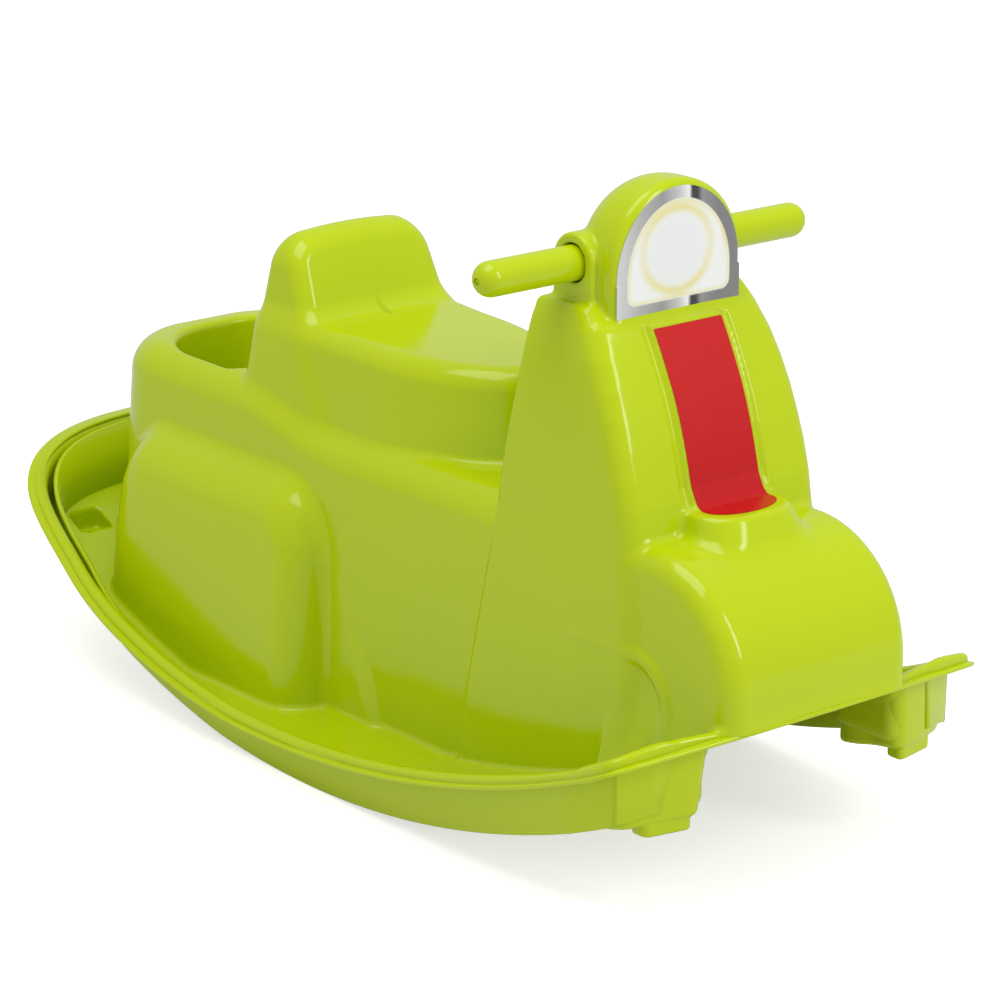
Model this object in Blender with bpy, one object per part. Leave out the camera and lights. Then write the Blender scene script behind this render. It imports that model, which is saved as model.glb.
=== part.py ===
"""Rocking scooter for a small child: one hollow moulded shell, a handlebar that turns in it, and two labels.

Metres, +Z up, the headlight looks along -Y, the rider's left hand is at +X. The floor is z = 0.
"""

from math import cos, pi, radians, sin

import bmesh
import bpy
from mathutils import Matrix, Vector

MM = 0.001

# Driving sizes, in millimetres
WALL = 3.0
FIT_GAP = 0.3

# Rocker, rim and tray, each a curve over y
ROCKER_RADIUS = 801.0
ROCKER_LOW_Y = -26.5
RIM_LOW_Z = 24.3
RIM_LOW_Y = 23.0
RIM_FRONT_BEND = 2.2472 * ROCKER_RADIUS
RIM_REAR_BEND = 1.3483 * ROCKER_RADIUS
TRAY_FLOOR_Z = 26.1
RIM_FRONT_Y = -402.0
RIM_REAR_Y = 401.5
RIM_HALF_WIDTH = 171.0
SKIRT_INSET = 10.5
SKIRT_REAR_INSET = 21.0
SKIRT_CORNER = (162.0, -374.0)
CORNER_EXTRA = 6.0
CORNER_REACH = 45.0
RIM_OUTLINE = (
    (0, -402), (45, -400), (87, -395), (120, -387.8), (147.4, -381.8), (155.1, -379), (161.5, -374.4), (166.7, -368), (169.9, -360.5), (171, -352.5),
    (171, -330), (171, -300), (171, -265), (171, -225), (171, -185), (171, -145), (171, -105), (171, -66.5),
    (171, -46.5), (171, -6.5), (171, 13.5), (171, 55), (171, 95), (171, 135), (171, 175), (170.6, 212),
    (168, 248), (162, 284), (156.5, 320), (151, 341), (144, 356), (134, 369), (120, 380.5),
    (101, 389.5), (78, 395.8), (48, 399.8), (22, 401.2), (0, 401.5),
)

# Deep pockets in the tray's front corners, and the stops that keep the toy from tipping over
LEG_INNER_X = 83.0
LEG_REAR_Y = -319.0
LEG_OVER_ROCKER = (-3.8, 5.6)
LEG_SLOPE = 0.22
STOP_X = (96.0, 132.5)
STOP_FRONT_Y = (-374.0, -359.0)
STOP_FRONT_OVER_ROCKER = -15.4
STOP_REAR_X = (74.0, 101.0)
STOP_REAR_Y = (334.0, 355.0)
STOP_REAR_OVER_ROCKER = -5.1
DRAIN = (79.6, 364.0, 3.0)
DRAIN_REACH = 22.0
FRONT_GAP_HALF_WIDTH = 83.4
FRONT_GAP_DEPTH = 30.0
FRONT_GAP_UNDER_RIM = 2.8

# Body between the footrests, with the storage well behind the seat
BODY_FRONT_Y = -150.0
BODY_SECTIONS = (
    (20, 91.5, 341, 60), (110, 91.0, 340, 60), (190, 89.0, 336, 58), (228, 85.5, 327, 54), (243, 81.5, 320, 50),
    (251, 74.0, 312, 44),
)
SADDLE_DIP = 19.0
WELL_HALF_WIDTH = 65.0
WELL_Y = (172.0, 296.0)
WELL_FLOOR_Z = 135.0
COWL_SECTIONS = (
    (20, 128.0, 18, 315, 40, 66), (60, 126.0, 18, 315, 40, 66), (110, 122.5, 20, 312, 40, 66), (140, 119.5, 27, 307, 40, 64),
    (160, 114.0, 35, 300, 40, 60), (176, 106.5, 48, 289, 38, 54), (187, 96.0, 66, 276, 34, 46), (193.5, 82.0, 88, 258, 28, 40),
)

# Seat and its back. The seat's front is a half ellipse that starts at SEAT_NOSE_Y
SEAT_NOSE_Y = 20.0
SEAT_SECTIONS = (
    (225, 75.5, -114, 138, 20), (270, 73.6, -110, 136, 20), (289, 70.0, -106, 132, 20),
    (299, 62.5, -99, 126, 18), (303, 52.0, -89, 120, 14),
)
BACK_SECTIONS = (
    (238, 71.4, 52, 157, 17, 17), (300, 67.6, 82, 146, 17, 17), (330, 64.5, 94.6, 140, 17, 17),
    (345, 60.5, 101.5, 136.4, 15, 15), (354, 53.5, 105.6, 132.5, 12, 12), (360.5, 42.0, 111, 127, 7, 7),
)

# Leg shield: height, half width, side ridge y, centre y, rear y
SHIELD_SECTIONS = (
    (20, 91.5, -307, -321, -119), (88, 90.0, -307, -321, -132), (189, 88.0, -303, -315, -151), (233, 86.5, -293, -305, -160),
    (253, 86.0, -288.5, -300.5, -165), (273, 85.0, -283, -294.3, -169), (292, 83.5, -277.5, -289, -173),
    (311, 81.7, -271, -282.7, -177), (330, 79.7, -263.5, -274.6, -181), (348, 77.0, -255.5, -266, -183),
    (364.5, 73.8, -246, -256, -184.5), (371, 72.2, -241, -247.2, -185), (383, 69.5, -235, -244, -186),
)

# Across the shield's front: share of the half width, and how far back toward the ridge
SHIELD_BOW = ((0, 0), (0.36, 0.04), (0.47, 0.24), (0.62, 0.42), (0.80, 0.64), (0.92, 0.86), (0.985, 1.15))

# Front mudguard: a quarter drum
GUARD_Y, GUARD_Z, GUARD_RADIUS = -312.0, 146.5, 86.0
GUARD_HALF_WIDTH = 82.8
GUARD_EDGE = 16.0
PAD_HALF_WIDTH = 36.0
PAD_TOP_Z = 248.4
PAD_FRONT_Y, PAD_REAR_Y = -336.0, -285.0

# Head with the headlight, and the handlebar through it
HEAD_FRONT_Y, HEAD_FULL_Y, HEAD_REAR_Y = -248.2, -220.0, -189.0
HEAD_RADIUS = 57.5
HEAD_CENTRE_Z = 403.0
HEAD_LOW_Z = 366.0
HEAD_EDGE = 7.0
BAR_Y, BAR_Z = -213.0, 406.0
GRIP_RADIUS = 12.3
GRIP_END_X = 146.0
BOSS_RADIUS = 20.6
BOSS_X = 60.5
BOSS_LOW_Z = 374.0
BOSS_BORE_RADIUS = 13.6
BEARING_X = (45.0, 53.0)
GRIP_SHOULDER_X = BEARING_X[1] + 1.5
STUB_RADIUS = 9.0
STUB_END_X = 4.0
SLEEVE_HALF_LENGTH = 34.0
SLEEVE_RADIUS = 12.5
SCREW_X = 22.0
SCREW_RADIUS = 2.0
SCREW_HEAD_RADIUS = 3.8

# Labels
LABEL_THICK = 0.5
LAMP_LABEL_ARCH = (
    (54.4, 371.8), (54.4, 398), (52.8, 411), (49.0, 423.5), (42.4, 434.5), (33.0, 443.6), (21.0, 450.4), (8.0, 454.0),
)
RED_HALF_WIDTH = 30.4
RED_PROFILE = (
    (-257.9, 363.6), (-266.0, 351.0), (-273.0, 337.0), (-279.5, 322.7), (-285.6, 307.8), (-290.4, 293.4),
    (-294.8, 278.0), (-299.4, 262.5), (-304.4, 249.5),
)
RED_TONGUE_REACH = 24.6
PANEL_HALF_WIDTH = 31.6


def rocker_z(y):
    return (y - ROCKER_LOW_Y) ** 2 / (2 * ROCKER_RADIUS)


def rim_z(y):
    bend = RIM_FRONT_BEND if y < RIM_LOW_Y else RIM_REAR_BEND
    return RIM_LOW_Z + (y - RIM_LOW_Y) ** 2 / bend


def floor_z(y):
    return max(TRAY_FLOOR_Z, rocker_z(y) + 5.5) if y > 0 else max(TRAY_FLOOR_Z, rim_z(y) - 7.2)


def corner_extra(point):
    """How much further in the skirt runs at the front corners, which it rounds more than the rim does."""
    away = (Vector((abs(point.x), point.y)) - Vector(SKIRT_CORNER)).length
    return CORNER_EXTRA * max(0.0, 1 - away / CORNER_REACH)


def skirt_inset(point):
    return SKIRT_INSET + corner_extra(point)


def skirt_bottom_inset(point):
    share = min(max((point.y - 120) / 160, 0), 1)
    return skirt_inset(point) + 0.8 + (SKIRT_REAR_INSET - SKIRT_INSET) * share


def new_collection(name, hidden=False):
    made = bpy.data.collections.new(name)
    bpy.context.scene.collection.children.link(made)
    made.hide_render = hidden
    return made


def new_object(name, mesh, home):
    made = bpy.data.objects.new(name, mesh)
    home.objects.link(made)
    if home.hide_render:
        made.hide_render = True
        made.display_type = "WIRE"
    return made


def solid_from_rings(name, rings, home, closed_path=False):
    """A closed solid whose skin runs through equal rings of points, given in millimetres."""
    shape = bmesh.new()
    rows = [[shape.verts.new(Vector(p) * MM) for p in ring] for ring in rings]
    count = len(rows[0])
    pairs = list(zip(rows, rows[1:] + rows[:1])) if closed_path else list(zip(rows, rows[1:]))
    for low, high in pairs:
        for i in range(count):
            j = (i + 1) % count
            shape.faces.new((low[i], low[j], high[j], high[i]))
    if not closed_path:
        shape.faces.new(rows[0][::-1])
        shape.faces.new(rows[-1])
    bmesh.ops.recalc_face_normals(shape, faces=shape.faces)
    if shape.calc_volume(signed=True) < 0:
        bmesh.ops.reverse_faces(shape, faces=shape.faces)
    mesh = bpy.data.meshes.new(name)
    shape.to_mesh(mesh)
    shape.free()
    return new_object(name, mesh, home)


def box(name, x, y, z, home):
    rings = [[(x[0], y[0], h), (x[1], y[0], h), (x[1], y[1], h), (x[0], y[1], h)] for h in z]
    return solid_from_rings(name, rings, home)


def rounded_outline(half, front, rear, front_radius, rear_radius, steps=5):
    """Plan of a rounded box, anticlockwise seen from above."""
    points = []
    corners = (
        (half, rear, rear_radius, 0), (-half, rear, rear_radius, 90),
        (-half, front, front_radius, 180), (half, front, front_radius, 270),
    )
    for x, y, radius, start in corners:
        radius = max(min(radius, half - 1), 1)
        centre_x = x - radius if x > 0 else x + radius
        centre_y = y - radius if start < 180 else y + radius
        for i in range(steps + 1):
            turn = radians(start + 90 * i / steps)
            points.append((centre_x + radius * cos(turn), centre_y + radius * sin(turn)))
    return points


def seat_outline(half, front, rear, rear_radius, steps=5):
    """Plan of the seat: rounded rear corners, and a half ellipse for the nose."""
    points = []
    for side, start in ((1, 0), (-1, 90)):
        for i in range(steps + 1):
            turn = radians(start + 90 * i / steps)
            points.append((side * (half - rear_radius) + rear_radius * cos(turn), rear - rear_radius + rear_radius * sin(turn)))
    for i in range(3 * steps + 1):
        turn = radians(180 + 180 * i / (3 * steps))
        points.append((half * cos(turn), SEAT_NOSE_Y + (SEAT_NOSE_Y - front) * sin(turn)))
    return points


def tower(name, sections, home, inset=0.0, foot=None, warp=None, plan=rounded_outline):
    """Plans stacked upward. With an inset, it is the hollow inside, which reaches down to foot."""
    rings = []
    for index, (z, half, front, rear, *radii) in enumerate(sections):
        height = foot if index == 0 and foot is not None else z - (inset if index == len(sections) - 1 else 0.5 * inset)
        outline = plan(half - inset, front + inset, rear - inset, *[max(radius - inset, 2) for radius in radii])
        rings.append([(x, y, height + (warp(y, z) if warp else 0)) for x, y in outline])
    return solid_from_rings(name, rings, home)


def saddle_warp(y, z):
    """The body's top falls from the storage well to the seat's front."""
    share = min(max((150 - y) / 110, 0), 1)
    share = share * share * (3 - 2 * share)
    return -SADDLE_DIP * share * min(max((z - 150) / 90, 0), 1)


def rim_points():
    half = [Vector((x, y)) for x, y in RIM_OUTLINE]
    return half + [Vector((-p.x, p.y)) for p in half[-2:0:-1]]


def inward(points):
    """The way in from the rim at each of its points."""
    found = []
    for i, here in enumerate(points):
        along = (points[(i + 1) % len(points)] - points[i - 1]).normalized()
        found.append(Vector((-along.y, along.x)))
    return found


def rim_ring(home):
    """Lip, bead and skirt in one section carried round the rim."""
    points = rim_points()
    rings = []
    for here, way in zip(points, inward(points)):
        bottom = skirt_bottom_inset(here)
        foot_y = here.y + way.y * bottom
        foot = rocker_z(foot_y) - rim_z(here.y)
        top = skirt_inset(here)
        section = (
            (0, 0), (0, 2.2), (4.4, 2.7), (5.4, 6.6), (8.6, 8.8), (top + 1.5, 8.3), (top + 3.4, 4.6),
            (top + 3.4, -2), (bottom + 3.2, foot), (bottom, foot), (top, -0.4),
        )
        rings.append([(here.x + way.x * d, here.y + way.y * d, rim_z(here.y) + h) for d, h in section])
    return solid_from_rings("rim", rings, home, closed_path=True)


def tray_floor(home):
    points = rim_points()
    ways = inward(points)
    rings = []
    for here, way in list(zip(points, ways))[: len(RIM_OUTLINE)]:
        depth = skirt_bottom_inset(here) + 1.0
        x = max(here.x + way.x * depth, 2.0)
        y = here.y + way.y * depth
        top = floor_z(y)
        rings.append([(-x, y, top), (x, y, top), (x, y, top - WALL - 0.7), (-x, y, top - WALL - 0.7)])
    return solid_from_rings("tray_floor", rings, home)


def underside(home):
    """What lies under the tray floor, inside the skirt."""
    points = rim_points()
    rings = []
    for here, way in list(zip(points, inward(points)))[: len(RIM_OUTLINE)]:
        depth = max(skirt_bottom_inset(here), skirt_inset(here)) + 3.9
        x = max(here.x + way.x * depth, 2.0)
        y = here.y + way.y * depth
        top = floor_z(y) - WALL
        rings.append([(-x, y, top), (x, y, top), (x, y, -60), (-x, y, -60)])
    return solid_from_rings("underside", rings, home)


def leg_plan(side, inset):
    """Plan of a front corner leg, which follows the inside of the skirt."""
    points = rim_points()
    ways = inward(points)
    edge = []
    for here, way in list(zip(points, ways))[: len(RIM_OUTLINE)]:
        at = here + way * (skirt_inset(here) + 2.1 + inset)
        if at.x > LEG_INNER_X + inset + 3 and at.y < LEG_REAR_Y - inset - 3:
            edge.append((at.x, at.y))
    front_y = edge[0][1] - 3
    edge.insert(0, (LEG_INNER_X + inset, front_y + 3))
    edge.append((edge[-1][0], LEG_REAR_Y - inset))
    edge.append((LEG_INNER_X + inset, LEG_REAR_Y - inset))
    return [(side * x, y) for x, y in edge]


def leg(side, home, inset=0.0):
    plan = leg_plan(side, inset)
    front_y = plan[0][1]
    lows = [rocker_z(y) + over + inset for y, over in zip((front_y, LEG_REAR_Y), LEG_OVER_ROCKER)]
    rings = []
    for rise in (0, 1):
        ring = []
        for x, y in plan:
            low = lows[0] + (lows[1] - lows[0]) * (y - front_y) / (LEG_REAR_Y - front_y)
            top = floor_z(y) + 40 if inset else floor_z(y) - 0.6
            ring.append((x, y, top if rise else low))
        rings.append(ring)
    return solid_from_rings(f"leg_{'left' if side > 0 else 'right'}", rings, home)


def stop(name, x, y, low, top, slope, home, inset=0.0):
    """Blunt foot: a drafted block whose front follows the rim's slope. With an inset, it is the pocket in it."""
    for side in (1, -1):
        rings = []
        for z, draft in ((low + inset, 1.2), (top, 0)):
            cut = inset + draft
            corners = ((x[0] + cut, y[0] + cut), (x[1] - cut, y[0] + cut + slope * (x[1] - x[0])), (x[1] - cut, y[1] - cut),
                       (x[0] + cut, y[1] - cut))
            rings.append([(side * a, b, z if z < top else z + floor_z(b) - floor_z(y[0])) for a, b in corners])
        solid_from_rings(f"{name}_{side}", rings, home)


def stops(home):
    low = rocker_z(STOP_FRONT_Y[0]) + STOP_FRONT_OVER_ROCKER
    stop("stop_front", STOP_X, STOP_FRONT_Y, low, low + 16, LEG_SLOPE, home)
    low = rocker_z(STOP_REAR_Y[0]) + STOP_REAR_OVER_ROCKER
    stop("stop_rear", STOP_REAR_X, STOP_REAR_Y, low, floor_z(STOP_REAR_Y[0]) - 1, 0, home)


def stop_pockets(home):
    low = rocker_z(STOP_REAR_Y[0]) + STOP_REAR_OVER_ROCKER
    stop("stop_pocket", STOP_REAR_X, STOP_REAR_Y, low, floor_z(STOP_REAR_Y[0]) + 3, 0, home, inset=WALL)
    for side in (1, -1):
        x, y, radius = DRAIN
        middle = floor_z(y)
        cylinder(f"drain_{side}", [(middle - DRAIN_REACH, radius), (middle + DRAIN_REACH, radius)], home, axis="Z",
                 centre=(side * x, y, 0), sides=12)


def shield(home, inset=0.0):
    """Leg shield: flat sides, rounded front corners and a bowed front."""
    rings = []
    for index, (z, half, ridge, centre, rear) in enumerate(SHIELD_SECTIONS):
        if inset and index == 0:
            z = -20
        elif index == len(SHIELD_SECTIONS) - 1:
            z -= inset
        w = half - inset
        front = [(share * w, centre + back * (ridge - centre)) for share, back in SHIELD_BOW] + [(w, ridge + 12)]
        side = [(x, y + inset) for x, y in front] + [(w + (0.0 if inset else 0.6), rear - inset)]
        outline = [(x, y, z) for x, y in side] + [(-x, y, z) for x, y in side[:0:-1]]
        rings.append(outline)
    return solid_from_rings("shield", rings, home)


def guard(home, inset=0.0):
    """Mudguard: a quarter drum across the front, its two ends rounded over."""
    rings = []
    half = GUARD_HALF_WIDTH - inset
    radius = GUARD_RADIUS - inset
    ends = [(half, GUARD_EDGE), (half - 0.07 * GUARD_EDGE, 0.62 * GUARD_EDGE), (half - 0.29 * GUARD_EDGE, 0.29 * GUARD_EDGE),
            (half - 0.62 * GUARD_EDGE, 0.07 * GUARD_EDGE), (half - GUARD_EDGE, 0)]
    stations = [(-x, cut) for x, cut in ends] + [(x, cut) for x, cut in ends[::-1]]
    feet = (-20, -20) if inset else (45, 106)
    for x, cut in stations:
        r = radius - (cut if not inset else cut * 0.8)
        arc = [(GUARD_Y - r * sin(radians(a)), GUARD_Z + r * cos(radians(a))) for a in range(0, 91, 10)]
        ring = [(-250, feet[0]), (-250, GUARD_Z + r)] + arc + [(GUARD_Y - r, feet[1])]
        rings.append([(x, y, z) for y, z in ring])
    return solid_from_rings("guard", rings, home)


def arch_prism(name, arch, y_spans, home):
    """Prism of an arch outline along y. Each span is a y with an inset from the outline."""
    rings = []
    half = max(x for x, _ in arch)
    low = arch[0][1]
    high = max(z for _, z in arch)
    for y, cut in y_spans:
        side = [(x * (1 - cut / half), z - cut * (z - low) / (high - low)) for x, z in arch]
        mirrored = [(-x, z) for x, z in side[::-1] if x > 0]
        rings.append([(x, y, z) for x, z in side + mirrored])
    return solid_from_rings(name, rings, home)


def cylinder(name, radii, home, axis="X", centre=(0, 0, 0), sides=32):
    """Turned shape: radii is a list of (position along the axis, radius)."""
    rings = []
    for along, radius in radii:
        ring = []
        for i in range(sides):
            turn = 2 * pi * (i + 0.5) / sides
            a, b = radius * cos(turn), radius * sin(turn)
            offset = {"X": (along, a, b), "Y": (a, along, b), "Z": (a, b, along)}[axis]
            ring.append(tuple(c + o for c, o in zip(centre, offset)))
        rings.append(ring)
    return solid_from_rings(name, rings, home)


def head_arch(radius, low, steps=12):
    """Upright sides and a half circle over them, from the right foot to the top."""
    arch = [(radius, low)]
    for i in range(steps):
        turn = radians(90 * i / steps)
        arch.append((radius * cos(turn), HEAD_CENTRE_Z + radius * sin(turn)))
    return arch + [(0.0, HEAD_CENTRE_Z + radius)]


def boss(side, home):
    """Outer end of the handlebar's bearing: round above the bar and upright below it."""
    outline = [(BAR_Y + BOSS_RADIUS * cos(radians(a)), BAR_Z + BOSS_RADIUS * sin(radians(a))) for a in range(0, 181, 15)]
    outline = [(BAR_Y + BOSS_RADIUS, BOSS_LOW_Z)] + outline + [(BAR_Y - BOSS_RADIUS, BOSS_LOW_Z)]
    rings = []
    for x, share in ((BOSS_X - 27, 1.0), (BOSS_X - 1.5, 1.0), (BOSS_X, 0.94)):
        rings.append([(side * x, BAR_Y + (y - BAR_Y) * share, BAR_Z + (z - BAR_Z) * share) for y, z in outline])
    return solid_from_rings(f"boss_{side}", rings, home)


def modifier(target, operation, collection):
    made = target.modifiers.new(operation.title(), "BOOLEAN")
    made.operation = operation
    made.operand_type = "COLLECTION"
    made.collection = collection
    made.solver = "EXACT"


def body_shell(home):
    """The one moulding: masses joined, hollow inside cut, small solid parts put back, bores cut last."""
    masses = new_collection("shell_masses", hidden=True)
    hollows = new_collection("shell_hollows", hidden=True)
    inserts = new_collection("shell_inserts", hidden=True)
    bores = new_collection("shell_bores", hidden=True)

    body = [(z, half, BODY_FRONT_Y, rear, 20, corner) for z, half, rear, corner in BODY_SECTIONS]
    shell = rim_ring(home)
    shell.name = "body_shell"
    tray_floor(masses)
    tower("body", body, masses, warp=saddle_warp)
    tower("cowl", COWL_SECTIONS, masses)
    tower("seat", SEAT_SECTIONS, masses, plan=seat_outline)
    tower("seat_back", BACK_SECTIONS, masses)
    shield(masses)
    guard(masses)
    arch = head_arch(HEAD_RADIUS, HEAD_LOW_Z)
    depth = HEAD_REAR_Y - HEAD_FULL_Y
    head_spans = [(HEAD_FRONT_Y, HEAD_EDGE), (HEAD_FRONT_Y + 0.15 * HEAD_EDGE, 0.55 * HEAD_EDGE),
                  (HEAD_FRONT_Y + 0.5 * HEAD_EDGE, 0.2 * HEAD_EDGE), (HEAD_FRONT_Y + HEAD_EDGE, 0)]
    head_spans += [(HEAD_FULL_Y + depth * sin(radians(a)), depth * (1 - cos(radians(a)))) for a in (0, 20, 40, 55, 70, 82)]
    arch_prism("head", arch, head_spans, masses)
    for side in (1, -1):
        boss(side, masses)

    underside(hollows)
    tower("body_hollow", body, hollows, inset=WALL, foot=-20, warp=saddle_warp)
    tower("cowl_hollow", COWL_SECTIONS, hollows, inset=WALL, foot=-20)
    tower("seat_hollow", SEAT_SECTIONS, hollows, inset=WALL, plan=seat_outline)
    tower("seat_back_hollow", BACK_SECTIONS, hollows, inset=WALL)
    shield(hollows, inset=WALL)
    guard(hollows, inset=WALL)
    hollow_arch = head_arch(HEAD_RADIUS, HEAD_LOW_Z - 16)
    hollow_spans = [(HEAD_FRONT_Y + WALL, HEAD_EDGE + WALL), (HEAD_FRONT_Y + HEAD_EDGE, WALL)]
    hollow_spans += [(HEAD_FULL_Y - WALL + (depth - WALL) * sin(radians(a)), WALL + depth * (1 - cos(radians(a)))) for a in (0, 30, 50, 66)]
    arch_prism("head_hollow", hollow_arch, hollow_spans, hollows)
    gap_top = rim_z(RIM_FRONT_Y + 6) - FRONT_GAP_UNDER_RIM
    box("front_gap", (-FRONT_GAP_HALF_WIDTH, FRONT_GAP_HALF_WIDTH), (RIM_FRONT_Y - 18, RIM_FRONT_Y + FRONT_GAP_DEPTH),
        (-20, gap_top), hollows)

    outer = (WELL_HALF_WIDTH + WALL, WELL_Y[0] - WALL, WELL_Y[1] + WALL)
    tower("well", ((WELL_FLOOR_Z - WALL, outer[0] - 6, outer[1] + 6, outer[2] - 6, 30, 40),
                   (249, outer[0], outer[1], outer[2], 34, 46)), inserts)
    stops(inserts)
    for side in (1, -1):
        leg(side, inserts)
        leg(side, bores, inset=WALL)
    stop_pockets(bores)
    for side in (1, -1):
        cylinder(f"bearing_{side}", [(side * x, BOSS_RADIUS - 1) for x in (BEARING_X[0], BOSS_X - 4)], inserts,
                 centre=(0, BAR_Y, BAR_Z))
    tower("well_hole", ((WELL_FLOOR_Z, WELL_HALF_WIDTH - 6, WELL_Y[0] + 6, WELL_Y[1] - 6, 27, 37),
                        (248, WELL_HALF_WIDTH, WELL_Y[0], WELL_Y[1], 31, 43),
                        (262, WELL_HALF_WIDTH + 5, WELL_Y[0] - 5, WELL_Y[1] + 5, 36, 48)), bores)
    for side in (1, -1):
        cylinder(f"counterbore_{side}", [(side * BEARING_X[1], BOSS_BORE_RADIUS), (side * (BOSS_X + 9), BOSS_BORE_RADIUS)],
                 bores, centre=(0, BAR_Y, BAR_Z))
        cylinder(f"bore_{side}", [(side * (BEARING_X[0] - 9), STUB_RADIUS + FIT_GAP), (side * (BEARING_X[1] + 3), STUB_RADIUS + FIT_GAP)],
                 bores, centre=(0, BAR_Y, BAR_Z))
    modifier(shell, "UNION", masses)
    modifier(shell, "DIFFERENCE", hollows)
    modifier(shell, "UNION", inserts)
    modifier(shell, "DIFFERENCE", bores)
    return shell


def grip(side, home, cutters):
    """Half of the handlebar: a round-ended grip, and the thinner stub that runs into the sleeve."""
    dome = [(GRIP_END_X - GRIP_RADIUS * (1 - cos(radians(a))), GRIP_RADIUS * sin(radians(a))) for a in range(90, 10, -15)]
    path = [(STUB_END_X, STUB_RADIUS), (GRIP_SHOULDER_X, STUB_RADIUS), (GRIP_SHOULDER_X, GRIP_RADIUS)]
    path += [(x, r) for x, r in dome] + [(GRIP_END_X, 1.2), (GRIP_END_X - 0.8, 1.0)]
    name = "grip_left" if side > 0 else "grip_right"
    made = cylinder(name, [(side * x, r) for x, r in path], home, centre=(0, BAR_Y, BAR_Z))
    cutter = cylinder(f"{name}_screw_hole", [(-STUB_RADIUS - 2, SCREW_RADIUS + FIT_GAP), (STUB_RADIUS + 2, SCREW_RADIUS + FIT_GAP)],
                      cutters, axis="Z", centre=(side * SCREW_X, BAR_Y, BAR_Z), sides=12)
    cut = made.modifiers.new("Screw hole", "BOOLEAN")
    cut.operation = "DIFFERENCE"
    cut.object = cutter
    cut.solver = "EXACT"
    return made


def sleeve(home):
    inner = STUB_RADIUS + FIT_GAP
    cutters = new_collection("sleeve_cutters", hidden=True)
    made = cylinder("handlebar_sleeve", [(-SLEEVE_HALF_LENGTH, SLEEVE_RADIUS), (SLEEVE_HALF_LENGTH, SLEEVE_RADIUS)], home,
                    centre=(0, BAR_Y, BAR_Z))
    cylinder("sleeve_bore", [(-SLEEVE_HALF_LENGTH - 5, inner), (SLEEVE_HALF_LENGTH + 5, inner)], cutters,
             centre=(0, BAR_Y, BAR_Z))
    for side in (1, -1):
        cylinder(f"sleeve_hole_{side}", [(-SLEEVE_RADIUS - 4, SCREW_RADIUS + FIT_GAP), (0, SCREW_RADIUS + FIT_GAP)], cutters,
                 axis="Z", centre=(side * SCREW_X, BAR_Y, BAR_Z), sides=12)
    modifier(made, "DIFFERENCE", cutters)
    return made


def screw(side, home):
    """Pan-head screw from below, through the sleeve into the stub."""
    head = -SLEEVE_RADIUS - FIT_GAP
    path = [(head - 2.6, SCREW_HEAD_RADIUS - 1.2), (head - 1.4, SCREW_HEAD_RADIUS), (head, SCREW_HEAD_RADIUS),
            (head, SCREW_RADIUS), (6.0, SCREW_RADIUS), (7.5, 0.6)]
    name = "sleeve_screw_left" if side > 0 else "sleeve_screw_right"
    return cylinder(name, path, home, axis="Z", centre=(side * SCREW_X, BAR_Y, BAR_Z), sides=16)


def lamp_label(home):
    front = HEAD_FRONT_Y - FIT_GAP
    side = [(x, z) for x, z in LAMP_LABEL_ARCH]
    outline = side + [(-x, z) for x, z in side[::-1]]
    rings = [[(x, y, z) for x, z in outline] for y in (front - LABEL_THICK, front)]
    return solid_from_rings("headlight_label", rings, home)


def shield_label(home):
    """Red strip down the shield and its rounded tongue on the mudguard."""
    rings = []
    front = [(y - LABEL_THICK, z) for y, z in RED_PROFILE]
    ring = list(RED_PROFILE) + front[::-1]
    for x in (-RED_HALF_WIDTH, RED_HALF_WIDTH):
        rings.append([(x, y, z) for y, z in ring])
    strip = solid_from_rings("shield_label", rings, home)
    cutters = new_collection("label_parts", hidden=True)
    low = PAD_TOP_Z + FIT_GAP
    tongue = [(RED_HALF_WIDTH, RED_PROFILE[-1][0] + 0.2)]
    for i in range(0, 7):
        turn = radians(30 * i)
        tongue.append((RED_HALF_WIDTH * cos(turn), RED_PROFILE[-1][0] - 2 - (RED_TONGUE_REACH - 2) * sin(turn)))
    tongue.append((-RED_HALF_WIDTH, RED_PROFILE[-1][0] + 0.2))
    solid_from_rings("tongue", [[(x, y, z) for x, y in tongue] for z in (low, low + LABEL_THICK + 0.4)], cutters)
    modifier(strip, "UNION", cutters)
    return strip


def label_seat(home):
    """Raised panel under the red label, and the pad under its tongue."""
    profile = [(y + FIT_GAP + 0.2, z) for y, z in RED_PROFILE]
    low_y, low_z = profile[-1]
    top_y, top_z = RED_PROFILE[0][0] + 1.5, RED_PROFILE[0][1] + 2.9
    ring = [(top_y, top_z)] + profile + [(low_y, PAD_TOP_Z - 3), (low_y + 28, PAD_TOP_Z - 30), (top_y + 26.4, top_z)]
    rings = [[(x, y, z) for y, z in ring] for x in (-PANEL_HALF_WIDTH, PANEL_HALF_WIDTH)]
    solid_from_rings("label_panel", rings, home)
    sections = []
    for drop, flare, corner in ((48.4, 16, 34), (12.4, 9, 30), (5.4, 3, 26), (1.9, 0, 24), (0, -3, 22)):
        front = PAD_FRONT_Y - flare * (0.9 if flare > 0 else 1)
        sections.append((PAD_TOP_Z - drop, PAD_HALF_WIDTH + flare, front, PAD_REAR_Y, corner, 3))
    tower("label_pad", sections, home)


def material(name, colour, roughness, metallic=0.0):
    made = bpy.data.materials.new(name)
    made.use_nodes = True
    shader = made.node_tree.nodes["Principled BSDF"]
    shader.inputs["Base Color"].default_value = (*colour, 1)
    shader.inputs["Roughness"].default_value = roughness
    shader.inputs["Metallic"].default_value = metallic
    return made


def clear_scene():
    for old in list(bpy.data.objects):
        bpy.data.objects.remove(old, do_unlink=True)


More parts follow.
